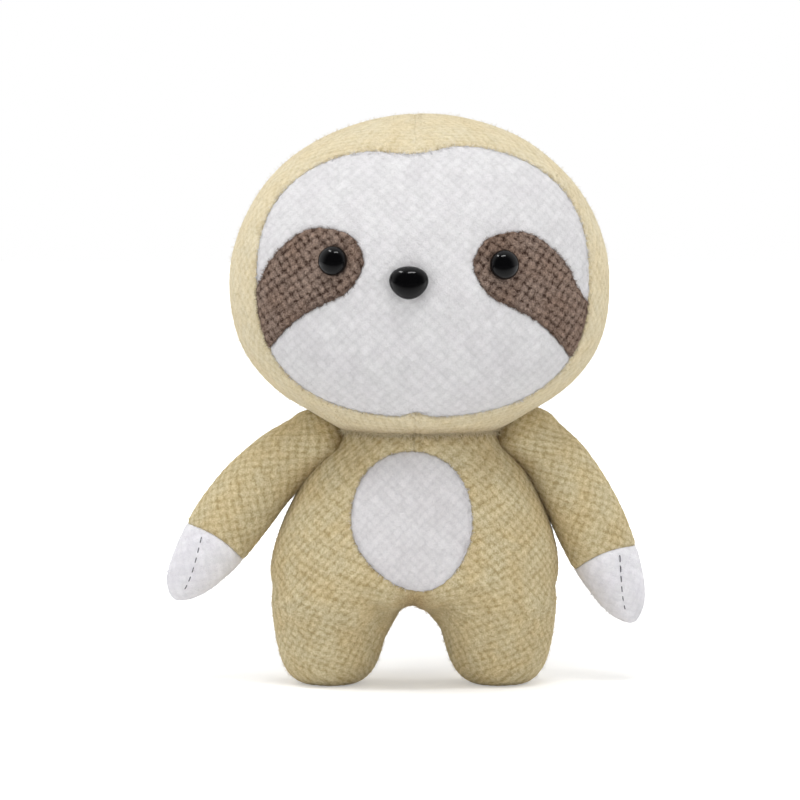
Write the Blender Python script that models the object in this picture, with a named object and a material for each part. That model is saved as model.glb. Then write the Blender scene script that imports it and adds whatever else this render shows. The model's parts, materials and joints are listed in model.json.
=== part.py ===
"""A small knitted plush sloth that stands on two stub legs.

The toy is sewn the way such toys are: knitted covers pulled over stuffing, a
white face and belly let into the beige cover, brown eye patches let into the
face, and plastic eyes and nose whose stems are held by washers inside the
head. Every form is a stack of rings. A cover is the outer layer of its form,
and the stuffing is the same form one cover and one gap further in.

The toy looks along -Y, its own left is +X, and it stands on Z = 0.
Run it with: blender --background --python part.py
"""

import math

import bmesh
import bpy
from mathutils import Matrix, Vector

MM = 0.001

# Fabric and fits
COVER = 1.5 * MM  # knitted cover with its soft backing
GAP = 0.3 * MM  # between pieces that touch
NECK_GAP = 0.5 * MM  # between the head's hollow and the body's top
OVERRUN = 20.0 * MM  # how far a cutter reaches past what it cuts

# Head
HEAD_WIDTH = 113.4 * MM
HEAD_DEPTH = 83.0 * MM
CROWN_RISE = 50.5 * MM  # from the widest line up to the crown
CHIN_DROP = 44.4 * MM  # from the widest line down to the chin
CHIN_HEIGHT = 76.2 * MM  # the chin over the floor
HEAD_FORWARD = 2.0 * MM
HEAD_SIDE = 1.8 * MM  # the head and neck sit this far to the toy's left
CROWN_FULLNESS = 2.0  # 2 is an ellipse, more is fuller
CHEEK_FULLNESS = 2.3
CHIN_DEPTH_FULLNESS = 2.9  # front to back, under the widest line

# Face panel
FACE_WIDTH = 98.4 * MM
FACE_HEIGHT = 80.4 * MM
FACE_RISE = 1.8 * MM  # its middle, over the widest line
FACE_SIDE = 0.75 * MM
FACE_FULLNESS = 2.5
BROW_NOTCH = 2.8 * MM
BROW_NOTCH_WIDTH = 9.0 * MM
BROW_DROP = 1.0 * MM  # the right brow under the left one
CHIN_NOTCH = 1.5 * MM
CHIN_NOTCH_WIDTH = 3.0 * MM
NOTCH_SIDE = -1.5 * MM

# Eyes and nose
EYE_SPACING = 49.6 * MM
EYE_RISE = 7.9 * MM  # the right eye, over the widest line
EYE_DROP = 1.1 * MM  # the left eye under the right one
EYE_SIDE = -0.6 * MM
EYE_RADIUS = 4.4 * MM
EYE_DOME = 3.9 * MM
NOSE_WIDTH = 11.4 * MM
NOSE_HEIGHT = 9.7 * MM
NOSE_DOME = 4.6 * MM
NOSE_RISE = 1.8 * MM
NOSE_SIDE = -3.4 * MM
NOSE_TAPER_SHARE = 0.14
RIM = 0.4 * MM  # rounded edge at the foot of a dome
STEM_RADIUS = 1.5 * MM
STEM_LENGTH = 6.4 * MM
WASHER_RADIUS = 5.0 * MM
WASHER_PLATE = 1.1 * MM
WASHER_HUB_RADIUS = 2.6 * MM
WASHER_HUB = 2.2 * MM
WASHER_SEAT = 0.3 * MM  # room for the cover's curve under the washer

# Brown patches round the eyes
PATCH_LENGTH = 36.0 * MM
# Points out and up from the eye, the last four past the edge of the face
PATCH_SHARES = (
    (0.09, 0.265),
    (-0.135, 0.205),
    (-0.238, 0.03),
    (-0.205, -0.11),
    (-0.10, -0.252),
    (0.055, -0.335),
    (0.23, -0.428),
    (0.38, -0.552),
    (0.50, -0.69),
    (0.61, -0.83),
    (0.78, -0.78),
    (0.83, -0.56),
    (0.72, -0.36),
    (0.615, -0.195),
    (0.54, -0.036),
    (0.413, 0.114),
    (0.26, 0.23),
)

# Body
HIP_WIDTH = 87.0 * MM
HIP_DEPTH = 61.0 * MM
HIP_HEIGHT = 33.0 * MM
CROTCH_HEIGHT = 24.2 * MM
SEAT_FULLNESS = 2.5
NECK_RADIUS = 26.0 * MM  # of the round top that the head sits on
NECK_HEIGHT = 64.0 * MM  # of that top's centre, where the head turns
DOME_START_DEG = 70.0
# Rows up the flank: share of the way from hip to dome, share of the girth left
FLANK_SHARES = (
    (0.0, 1.0),
    (0.15, 0.975),
    (0.30, 0.89),
    (0.45, 0.775),
    (0.60, 0.63),
    (0.74, 0.48),
    (0.87, 0.28),
)

# Belly patch
BELLY_WIDTH = 35.8 * MM
BELLY_HEIGHT = 41.0 * MM
BELLY_CENTRE = 51.2 * MM
BELLY_SIDE = -0.75 * MM
BELLY_FULLNESS = 2.1
BELLY_LEAN = 2.6 * MM  # the low end, to the toy's left
BELLY_TAPER_SHARE = 0.2  # how much narrower the low end is

# Legs
LEG_SPREAD = 50.8 * MM  # between the middles of the two feet
LEG_WIDTH = 35.0 * MM
LEG_DEPTH = 44.0 * MM
LEG_HEIGHT = 35.0 * MM  # to the top of the stub inside the body
# Rows up the leg: shares of its height, half width, half depth, and how far
# its middle leans in, as a share of the half width
LEG_SHARES = (
    (0.0, 0.44, 0.42, 0.0),
    (0.03, 0.58, 0.56, 0.0),
    (0.10, 0.72, 0.69, 0.0),
    (0.20, 0.83, 0.80, 0.0),
    (0.36, 0.925, 0.90, 0.005),
    (0.52, 1.0, 1.0, 0.025),
    (0.66, 1.10, 1.09, 0.10),
    (0.78, 1.15, 1.16, 0.15),
    (0.90, 1.0, 1.03, 0.15),
    (0.97, 0.68, 0.70, 0.15),
)

# Arms
ARM_REACH = 61.0 * MM  # from the shoulder's centre to the paw's tip
ARM_RADIUS = 10.4 * MM
SHOULDER_RADIUS = 7.4 * MM
SHOULDER_HEIGHT = 74.0 * MM
LEFT_LEAN_DEG = 22.0  # of the flank that the left arm lies along
RIGHT_LEAN_DEG = 33.5
PAW_SHARE = 0.63  # where the paw begins along the arm
# Rows down the arm: shares of the reach, of the radius that its middle stands
# off the flank, and of the radius
ARM_SHARES = (
    (0.085, 0.885, 0.755),
    (0.185, 0.935, 0.845),
    (0.31, 0.985, 0.965),
    (0.44, 1.025, 1.005),
    (0.56, 1.06, 0.98),
    (0.67, 1.08, 0.925),
    (0.77, 1.095, 0.825),
    (0.87, 1.11, 0.665),
    (0.945, 1.125, 0.46),
    (0.985, 1.13, 0.24),
)

# Thread that closes the head and the arms to the body
THREAD_RADIUS = 0.4 * MM
NECK_THREAD_DEG = 61.0  # from straight up, on the body's round top

# Facets
HEAD_SIDES = 36
HEAD_ROWS = 8
BODY_SIDES = 28
SEAT_ROWS = 3
DOME_ROWS = 4
LEG_SIDES = 18
ARM_SIDES = 14
ROOT_ROWS = 3
BUTTON_SIDES = 16
DOME_STEPS = 4
OUTLINE_POINTS = 40
CURVE_STEPS = 2
THREAD_SIDES = 5
NECK_THREAD_STEPS = 32
SHOULDER_THREAD_STEPS = 16
SMOOTH_DEG = 40.0  # edges that bend more than this stay sharp

LEFT, RIGHT = 1, -1
HEAD_HEIGHT = CHIN_HEIGHT + CHIN_DROP  # its widest line over the floor
HEAD_CENTRE = Vector((HEAD_SIDE, -HEAD_FORWARD, HEAD_HEIGHT))
NECK_PIVOT = Vector((HEAD_SIDE, 0.0, NECK_HEIGHT))


# Scene and materials
def clear_scene():
    """Removes every object, so that the script starts from nothing."""
    for found in list(bpy.data.objects):
        bpy.data.objects.remove(found, do_unlink=True)


def linear(level):
    """One sRGB level from 0 to 255 as a linear one from 0 to 1."""
    share = level / 255
    if share <= 0.04045:
        return share / 12.92
    return ((share + 0.055) / 1.055) ** 2.4


def make_material(name, colour, roughness):
    """A Principled BSDF material from an sRGB colour."""
    material = bpy.data.materials.new(name)
    material.use_nodes = True
    shader = material.node_tree.nodes["Principled BSDF"]
    shader.inputs["Base Color"].default_value = (*map(linear, colour), 1)
    shader.inputs["Roughness"].default_value = roughness
    shader.inputs["Metallic"].default_value = 0
    material.diffuse_color = (*map(linear, colour), 1)
    return material


def make_materials():
    """The toy's materials, by name."""
    return {
        "beige_knit": make_material("beige_knit", (196, 180, 142), 0.9),
        "white_knit": make_material("white_knit", (232, 231, 232), 0.9),
        "brown_knit": make_material("brown_knit", (121, 98, 84), 0.9),
        "white_pile": make_material("white_pile", (228, 226, 228), 0.95),
        "black_plastic": make_material("black_plastic", (12, 12, 14), 0.12),
        "white_plastic": make_material("white_plastic", (214, 214, 210), 0.45),
        "stuffing": make_material("stuffing", (240, 240, 236), 1.0),
        "thread": make_material("thread", (182, 165, 126), 0.7),
    }


# Placing
def make_pivot(name, location, parent=None, rotation=(0, 0, 0)):
    """An empty that pieces turn about. location is in the toy's own frame."""
    pivot = bpy.data.objects.new(name, None)
    bpy.context.scene.collection.objects.link(pivot)
    base = parent["place"] if parent else Vector((0, 0, 0))
    pivot["place"] = location
    pivot.location = location - Vector(base)
    pivot.rotation_euler = rotation
    pivot.parent = parent
    return pivot


def add_object(name, bm, pivot, in_place=True):
    """Turns bm into an object on pivot. in_place says that bm is in the toy's frame."""
    if in_place:
        bmesh.ops.translate(bm, verts=bm.verts, vec=-Vector(pivot["place"]))
    bmesh.ops.recalc_face_normals(bm, faces=bm.faces)
    mesh = bpy.data.meshes.new(name)
    bm.to_mesh(mesh)
    bm.free()
    piece = bpy.data.objects.new(name, mesh)
    bpy.context.scene.collection.objects.link(piece)
    piece.parent = pivot
    return piece


def add_piece(name, bm, pivot, material, in_place=True):
    """A visible sub-part with its own material."""
    piece = add_object(name, bm, pivot, in_place)
    piece.data.materials.append(material)
    piece.data.shade_smooth()
    piece.data.set_sharp_from_angle(angle=math.radians(SMOOTH_DEG))
    return piece


def add_cutter(name, bm, pivot, in_place=True):
    """A guide that only Boolean modifiers read."""
    cutter = add_object(name, bm, pivot, in_place)
    cutter.hide_render = True
    cutter.display_type = "WIRE"
    return cutter


def cut(piece, cutter, operation="DIFFERENCE"):
    """Adds one Boolean modifier."""
    modifier = piece.modifiers.new(cutter.name, "BOOLEAN")
    modifier.operation = operation
    modifier.object = cutter
    modifier.solver = "EXACT"


# Forms
def loft(rows, sides, depth=0.0, floor=None, roof=None):
    """A closed form through rows of (centre, half width, half depth), from the lowest up.

    floor and roof are the points where it closes, or None for a flat end. The
    whole surface then moves in by depth.
    """
    bm = bmesh.new()
    half_step = Matrix.Rotation(math.pi / sides, 4, "Z")
    below = None
    ends = []
    for centre, half_width, half_depth in rows:
        spread = Matrix.Diagonal((half_width, half_depth, 1, 1))
        place = Matrix.Translation(centre) @ spread @ half_step
        ring = bmesh.ops.create_circle(bm, segments=sides, radius=1, matrix=place)["verts"]
        edges = list({edge for vert in ring for edge in vert.link_edges})
        if below:
            bmesh.ops.bridge_loops(bm, edges=below + edges)
        below = edges
        ends.append(ring)
    for ring, point in ((ends[0], floor), (ends[-1], roof)):
        lid = bm.faces.new(ring)
        if point is not None:
            bmesh.ops.poke(bm, faces=[lid])["verts"][0].co = point
    bmesh.ops.recalc_face_normals(bm, faces=bm.faces)
    bm.normal_update()
    moved = [(vert, vert.co - vert.normal * depth) for vert in bm.verts]
    for vert, place in moved:
        vert.co = place
    return bm


def fullness_row(angle, fullness):
    """(across, along) on a unit superellipse at angle from its widest line."""
    power = 2 / fullness
    return math.cos(angle) ** power, math.sin(angle) ** power


def head_deep(along):
    """Share of the head's depth at a height from -1 at the chin to 1 at the crown."""
    fullness = CROWN_FULLNESS if along > 0 else CHIN_DEPTH_FULLNESS
    return (1 - abs(along) ** fullness) ** (1 / fullness)


def head_layer(depth):
    """The head, depth under its surface: full cheeks below, a round crown above."""
    rows = []
    halves = ((-CHIN_DROP, CHEEK_FULLNESS), (CROWN_RISE, CROWN_FULLNESS))
    for rise, fullness in halves:
        half_rows = []
        for step in range(HEAD_ROWS):
            angle = step / HEAD_ROWS * math.pi / 2
            across, along = fullness_row(angle, fullness)
            centre = HEAD_CENTRE + Vector((0, 0, rise * along))
            deep = head_deep(math.copysign(along, rise))
            half_rows.append((centre, HEAD_WIDTH / 2 * across, HEAD_DEPTH / 2 * deep))
        rows = half_rows[:0:-1] if rise < 0 else rows + half_rows
    chin = HEAD_CENTRE - Vector((0, 0, CHIN_DROP))
    crown = HEAD_CENTRE + Vector((0, 0, CROWN_RISE))
    return loft(rows, HEAD_SIDES, depth, chin, crown)


def body_layer(depth):
    """The pear-shaped body, depth under its surface, with the round top for the head."""
    rows = []
    for step in range(SEAT_ROWS, 0, -1):
        angle = step / (SEAT_ROWS + 1) * math.pi / 2
        across, along = fullness_row(angle, SEAT_FULLNESS)
        height = HIP_HEIGHT - (HIP_HEIGHT - CROTCH_HEIGHT) * along
        rows.append((Vector((0, 0, height)), HIP_WIDTH / 2 * across, HIP_DEPTH / 2 * across))
    start = math.radians(DOME_START_DEG)
    dome_radius = NECK_RADIUS * math.sin(start)
    dome_height = NECK_HEIGHT + NECK_RADIUS * math.cos(start)
    for climb, girth in FLANK_SHARES:
        height = HIP_HEIGHT + (dome_height - HIP_HEIGHT) * climb
        half_width = dome_radius + (HIP_WIDTH / 2 - dome_radius) * girth
        half_depth = dome_radius + (HIP_DEPTH / 2 - dome_radius) * girth
        rows.append((Vector((HEAD_SIDE * climb, 0, height)), half_width, half_depth))
    for step in range(DOME_ROWS):
        angle = start * (1 - step / DOME_ROWS)
        radius = NECK_RADIUS * math.sin(angle)
        rows.append((NECK_PIVOT + Vector((0, 0, NECK_RADIUS * math.cos(angle))), radius, radius))
    seat = Vector((0, 0, CROTCH_HEIGHT))
    top = NECK_PIVOT + Vector((0, 0, NECK_RADIUS))
    return loft(rows, BODY_SIDES, depth, seat, top)


def leg_layer(side, depth):
    """A stub leg with a flat sole, depth under its surface."""
    rows = []
    for climb, width, thickness, lean in LEG_SHARES:
        across = side * (LEG_SPREAD - LEG_WIDTH * lean) / 2
        centre = Vector((across, 0, LEG_HEIGHT * climb))
        rows.append((centre, LEG_WIDTH / 2 * width, LEG_DEPTH / 2 * thickness))
    hip = Vector((rows[-1][0].x, 0, LEG_HEIGHT))
    return loft(rows, LEG_SIDES, depth, None, hip)


def arm_layer(side, depth):
    """An arm in its shoulder's frame, depth under its surface, hanging along -Z."""
    rows = []
    for along, off, radius in reversed(ARM_SHARES):
        out = side * (ARM_RADIUS * off - SHOULDER_RADIUS)
        rows.append((Vector((out, 0, -ARM_REACH * along)), ARM_RADIUS * radius, ARM_RADIUS * radius))
    for step in range(ROOT_ROWS):
        angle = step / ROOT_ROWS * math.pi / 2
        radius = SHOULDER_RADIUS * math.cos(angle)
        rows.append((Vector((0, 0, SHOULDER_RADIUS * math.sin(angle))), radius, radius))
    tip = Vector((rows[0][0].x, 0, -ARM_REACH))
    root = Vector((0, 0, SHOULDER_RADIUS))
    return loft(rows, ARM_SIDES, depth, tip, root)


# Cutters
def box(low, high):
    """A box between two corners."""
    bm = bmesh.new()
    size = high - low
    place = Matrix.Translation((low + high) / 2) @ Matrix.Diagonal((*size, 1))
    bmesh.ops.create_cube(bm, size=1, matrix=place)
    return bm


def ball(centre, radius):
    """A round cutter with facets as fine as the head's."""
    bm = bmesh.new()
    place = Matrix.Translation(centre)
    bmesh.ops.create_uvsphere(
        bm, u_segments=HEAD_SIDES, v_segments=HEAD_SIDES // 2, radius=radius, matrix=place
    )
    return bm


def half_space(side, seam_x, size):
    """Everything on one side of the plane X = seam_x, half a gap off it."""
    near = seam_x + side * GAP / 2
    low_x, high_x = sorted((near, near + side * size))
    return box(Vector((low_x, -size, -size)), Vector((high_x, size, size)))


def prism(points, grow, front, back):
    """An outline of (x, z) points, grown outwards, drawn from Y = front to Y = back."""
    bm = bmesh.new()
    count = len(points)
    ring = []
    for index, (x, z) in enumerate(points):
        before, after = points[index - 1], points[(index + 1) % count]
        along = Vector((after[0] - before[0], after[1] - before[1])).normalized()
        ring.append(bm.verts.new((x + along.y * grow, front, z - along.x * grow)))
    lid = bm.faces.new(ring)
    sides = bmesh.ops.extrude_face_region(bm, geom=[lid])["geom"]
    moved = [item for item in sides if isinstance(item, bmesh.types.BMVert)]
    bmesh.ops.translate(bm, verts=moved, vec=(0, back - front, 0))
    return bm


def oval(centre, width, height, fullness):
    """Points round a superellipse, counter-clockwise from the toy's left."""
    points = []
    for index in range(OUTLINE_POINTS):
        angle = 2 * math.pi * (index + 0.5) / OUTLINE_POINTS
        across, along = math.cos(angle), math.sin(angle)
        x = math.copysign(abs(across) ** (2 / fullness), across)
        z = math.copysign(abs(along) ** (2 / fullness), along)
        points.append((centre[0] + width / 2 * x, centre[1] + height / 2 * z))
    return points


def face_outline():
    """The face panel's edge, with its notch at the brow and the small one at the chin."""
    centre = (HEAD_CENTRE.x + FACE_SIDE, HEAD_CENTRE.z + FACE_RISE)
    points = []
    for x, z in oval(centre, FACE_WIDTH, FACE_HEIGHT, FACE_FULLNESS):
        off = x - HEAD_CENTRE.x - NOTCH_SIDE
        brow = BROW_NOTCH * math.exp(-((off / BROW_NOTCH_WIDTH) ** 2))
        chin = CHIN_NOTCH * math.exp(-((off / CHIN_NOTCH_WIDTH) ** 2))
        up = (z - centre[1]) / (FACE_HEIGHT / 2)
        brow += BROW_DROP * up * min(max(-off / BROW_NOTCH_WIDTH, 0), 1)
        points.append((x, z - brow if up > 0 else z + chin))
    return points


def patch_outline(side):
    """A smooth teardrop round one eye, which runs out past the face's edge."""
    eye = eye_place(side)
    knots = [
        Vector((eye.x + side * PATCH_LENGTH * out, eye.z + PATCH_LENGTH * up))
        for out, up in PATCH_SHARES
    ]
    points = []
    count = len(knots)
    for index in range(count):
        a, b, c, d = (knots[(index + shift) % count] for shift in (-1, 0, 1, 2))
        for step in range(CURVE_STEPS):
            t = step / CURVE_STEPS
            bend = (2 * a - 5 * b + 4 * c - d) * t**2 + (3 * b - a - 3 * c + d) * t**3
            point = (2 * b + (c - a) * t + bend) / 2
            points.append((point.x, point.y))
    return points if side == LEFT else points[::-1]


# Points on the front of the head
def head_front(x, z):
    """The point on the head's front at x and z from its centre, in the toy's frame."""
    rise, fullness = (
        (CROWN_RISE, CROWN_FULLNESS) if z > 0 else (CHIN_DROP, CHEEK_FULLNESS)
    )
    wide = HEAD_WIDTH / 2 * (1 - (abs(z) / rise) ** fullness) ** (1 / fullness)
    deep = HEAD_DEPTH / 2 * head_deep(z / rise)
    return HEAD_CENTRE + Vector((x, -deep * math.sqrt(1 - (x / wide) ** 2), z))


def eye_place(side):
    """Where an eye's stem goes through the face."""
    drop = EYE_DROP if side == LEFT else 0
    return head_front(EYE_SIDE + side * EYE_SPACING / 2, EYE_RISE - drop)


def nose_place():
    """Where the nose's stem goes through the face."""
    return head_front(NOSE_SIDE, NOSE_RISE)


def facing(place):
    """A frame at a point of the head's front, its Z out of the head and its Y up."""
    x, z = place.x - HEAD_CENTRE.x, place.z - HEAD_CENTRE.z
    step = COVER
    across = head_front(x + step, z) - head_front(x - step, z)
    up = head_front(x, z + step) - head_front(x, z - step)
    out = across.cross(up).normalized()
    right = Vector((0, 0, 1)).cross(out).normalized()
    axes = Matrix((right, out.cross(right), out)).transposed()
    return Matrix.Translation(place) @ axes.to_4x4()


# Turned pieces
def turned(profile, place):
    """A closed solid turned from a profile of (radius, height) points."""
    bm = bmesh.new()
    verts = [bm.verts.new((radius, 0, height)) for radius, height in profile]
    ring = list(zip(verts, verts[1:]))
    if profile[0][0] > 0:
        ring.append((verts[-1], verts[0]))
    edges = [bm.edges.new(pair) for pair in ring]
    bmesh.ops.spin(
        bm,
        geom=verts + edges,
        axis=(0, 0, 1),
        cent=(0, 0, 0),
        angle=2 * math.pi,
        steps=BUTTON_SIDES,
        use_merge=True,
    )
    bmesh.ops.remove_doubles(bm, verts=bm.verts, dist=RIM / 100)
    bmesh.ops.recalc_face_normals(bm, faces=bm.faces)
    bmesh.ops.transform(bm, matrix=place, verts=bm.verts)
    return bm


def button_profile(radius, dome):
    """A domed button on its stem, from the stem's end up to the top of the dome."""
    profile = [
        (0, -STEM_LENGTH),
        (STEM_RADIUS, -STEM_LENGTH),
        (STEM_RADIUS, GAP),
        (radius - RIM, GAP),
    ]
    for step in range(DOME_STEPS):
        angle = step / DOME_STEPS * math.pi / 2
        profile.append((radius * math.cos(angle), GAP + RIM + (dome - RIM) * math.sin(angle)))
    profile.append((0, GAP + dome))
    return profile


def washer_profile():
    """The washer pressed on a stem: a plate against the cover and a hub behind it."""
    bore = STEM_RADIUS + GAP / 3
    front = -(COVER + GAP + WASHER_SEAT)
    return [
        (bore, front),
        (WASHER_RADIUS, front),
        (WASHER_RADIUS, front - WASHER_PLATE),
        (WASHER_HUB_RADIUS, front - WASHER_PLATE),
        (WASHER_HUB_RADIUS, front - WASHER_HUB),
        (bore, front - WASHER_HUB),
    ]


def plug(place, radius, top, bottom):
    """A round cutter along a stem."""
    return turned([(0, bottom), (radius, bottom), (radius, top), (0, top)], place)


def thread_ring(place, radius, steps):
    """A closed round of sewing thread."""
    bm = bmesh.new()
    ring = bmesh.ops.create_circle(
        bm,
        segments=THREAD_SIDES,
        radius=THREAD_RADIUS,
        matrix=Matrix.Translation((radius, 0, 0)) @ Matrix.Rotation(math.pi / 2, 4, "X"),
    )["verts"]
    edges = list({edge for vert in ring for edge in vert.link_edges})
    bmesh.ops.spin(
        bm,
        geom=ring + edges,
        axis=(0, 0, 1),
        cent=(0, 0, 0),
        angle=2 * math.pi,
        steps=steps,
        use_merge=True,
    )
    bmesh.ops.recalc_face_normals(bm, faces=bm.faces)
    bmesh.ops.transform(bm, matrix=place, verts=bm.verts)
    return bm


# Head
def build_head(pivot, materials):
    """The head bag with its inlaid face, the eyes, the nose and the stuffing."""
    front = HEAD_CENTRE.y - HEAD_DEPTH / 2 - OVERRUN
    back = HEAD_CENTRE.y
    face = face_outline()

    hollow = add_cutter("cut_head_hollow", ball(NECK_PIVOT, NECK_RADIUS + NECK_GAP), pivot)
    inside = add_cutter("cut_head_inside", head_layer(COVER), pivot)
    lining = ball(NECK_PIVOT, NECK_RADIUS + NECK_GAP + COVER)
    lining = add_cutter("cut_head_lining", lining, pivot)
    hood_inside = add_cutter("cut_hood_inside", head_layer(COVER), pivot)
    cut(hood_inside, lining)
    opening = add_cutter("cut_face_opening", prism(face, GAP / 2, front, back), pivot)
    window = add_cutter("cut_face_window", prism(face, -GAP / 2, front, back), pivot)
    patch_holes, patch_shapes = {}, {}
    for side, name in ((LEFT, "left"), (RIGHT, "right")):
        outline = patch_outline(side)
        hole = prism(outline, GAP / 2, front - OVERRUN, back + OVERRUN / 4)
        shape = prism(outline, -GAP / 2, front - OVERRUN, back + OVERRUN / 4)
        patch_holes[name] = add_cutter(f"cut_{name}_patch_hole", hole, pivot)
        patch_shapes[name] = add_cutter(f"cut_{name}_patch_shape", shape, pivot)

    seam_x = HEAD_CENTRE.x + NOTCH_SIDE
    for side, name in ((LEFT, "left"), (RIGHT, "right")):
        half = half_space(side, seam_x, HEAD_HEIGHT + HEAD_WIDTH)
        half = add_cutter(f"cut_head_{name}_half", half, pivot)
        hood = add_piece(f"hood_{name}", head_layer(0), pivot, materials["beige_knit"])
        cut(hood, hollow)
        cut(hood, hood_inside)
        cut(hood, opening)
        cut(hood, half, "INTERSECT")

    panel = add_piece("face_panel", head_layer(0), pivot, materials["white_knit"])
    cut(panel, inside)
    cut(panel, window, "INTERSECT")
    stuffing_rim = ball(NECK_PIVOT, NECK_RADIUS + NECK_GAP + COVER + GAP)
    stuffing_rim = add_cutter("cut_head_stuffing_hollow", stuffing_rim, pivot)
    stuffing = head_layer(COVER + GAP)
    stuffing = add_piece("head_stuffing", stuffing, pivot, materials["stuffing"])
    cut(stuffing, stuffing_rim)

    for side, name in ((LEFT, "left"), (RIGHT, "right")):
        patch = add_piece(f"{name}_eye_patch", head_layer(0), pivot, materials["brown_knit"])
        cut(patch, inside)
        cut(patch, window, "INTERSECT")
        cut(patch, patch_shapes[name], "INTERSECT")
        cut(panel, patch_holes[name])
        place = facing(eye_place(side))
        build_button(f"{name}_eye", place, (EYE_RADIUS, EYE_DOME), (patch, stuffing), pivot, materials)

    nose = build_button(
        "nose", facing(nose_place()), (NOSE_HEIGHT / 2, NOSE_DOME), (panel, stuffing), pivot, materials
    )
    widen_nose(nose, facing(nose_place()), pivot)


def build_button(name, place, size, layers, pivot, materials):
    """A plastic eye or nose, its washer, and the holes for them in the cover and stuffing."""
    radius, dome = size
    cover, stuffing = layers
    button = add_piece(
        name, turned(button_profile(radius, dome), place), pivot, materials["black_plastic"]
    )
    add_piece(
        f"{name}_washer", turned(washer_profile(), place), pivot, materials["white_plastic"]
    )
    hole = plug(place, STEM_RADIUS + GAP, OVERRUN / 4, -COVER * 2)
    cut(cover, add_cutter(f"cut_{name}_hole", hole, pivot))
    bottom = -(STEM_LENGTH + GAP)
    pocket = plug(place, WASHER_RADIUS + GAP, OVERRUN / 4, bottom)
    cut(stuffing, add_cutter(f"cut_{name}_pocket", pocket, pivot))
    return button


def widen_nose(nose, place, pivot):
    """Makes the nose's round dome wide, and wider above than below. The stem stays round."""
    local = Matrix.Translation(-Vector(pivot["place"])) @ place
    back = local.inverted()
    for vert in nose.data.vertices:
        point = back @ vert.co
        if point.z > 0 and math.hypot(point.x, point.y) > STEM_RADIUS + GAP:
            taper = 1 + NOSE_TAPER_SHARE * point.y / (NOSE_HEIGHT / 2)
            point.x *= NOSE_WIDTH / NOSE_HEIGHT * taper
        vert.co = local @ point


# Body and legs
def belly_outline():
    """The belly patch's edge, an egg with its narrow end low and a little to the left."""
    points = []
    middle = (BELLY_SIDE, BELLY_CENTRE)
    for x, z in oval(middle, BELLY_WIDTH, BELLY_HEIGHT, BELLY_FULLNESS):
        drop = max(BELLY_CENTRE - z, 0) / (BELLY_HEIGHT / 2)
        across = (x - BELLY_SIDE) * (1 - BELLY_TAPER_SHARE * drop**2)
        points.append((BELLY_SIDE + across + BELLY_LEAN * drop**2, z))
    return points


def build_body(pivot, materials):
    """The body bag in two panels, the belly let into the front, and the two legs."""
    inside = add_cutter("cut_body_inside", body_layer(COVER), pivot)
    outside = add_cutter("cut_body_outside", body_layer(-GAP), pivot)
    belly = belly_outline()
    front = -HIP_DEPTH / 2 - OVERRUN
    belly_hole = add_cutter("cut_belly_hole", prism(belly, GAP / 2, front, 0), pivot)
    belly_shape = add_cutter("cut_belly_shape", prism(belly, -GAP / 2, front, 0), pivot)

    for side, name in ((LEFT, "left"), (RIGHT, "right")):
        half = half_space(side, 0, NECK_HEIGHT + HIP_WIDTH)
        half = add_cutter(f"cut_body_{name}_half", half, pivot)
        cover = add_piece(f"body_{name}", body_layer(0), pivot, materials["beige_knit"])
        cut(cover, inside)
        cut(cover, belly_hole)
        cut(cover, half, "INTERSECT")
    patch = add_piece("belly_patch", body_layer(0), pivot, materials["white_knit"])
    cut(patch, inside)
    cut(patch, belly_shape, "INTERSECT")
    add_piece("body_stuffing", body_layer(COVER + GAP), pivot, materials["stuffing"])

    for side, name in ((LEFT, "left"), (RIGHT, "right")):
        leg_inside = add_cutter(f"cut_{name}_leg_inside", leg_layer(side, COVER), pivot)
        leg = add_piece(f"{name}_leg_cover", leg_layer(side, 0), pivot, materials["beige_knit"])
        cut(leg, leg_inside)
        cut(leg, outside)
        filling = leg_layer(side, COVER + GAP)
        filling = add_piece(f"{name}_leg_stuffing", filling, pivot, materials["stuffing"])
        cut(filling, outside)


# Arms
def shoulder_frame(side, lean_deg):
    """The shoulder's centre, and the turn that lays the arm along the flank."""
    lean = math.radians(lean_deg)
    out = Vector((side * math.cos(lean), 0, math.sin(lean)))
    shape = body_layer(0)
    flank = max(vert.co.dot(out) for vert in shape.verts)
    shape.free()
    off = flank + GAP + SHOULDER_RADIUS
    x = (off - SHOULDER_HEIGHT * out.z) / out.x
    return Vector((x, 0, SHOULDER_HEIGHT)), (0, -side * lean, 0)


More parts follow.
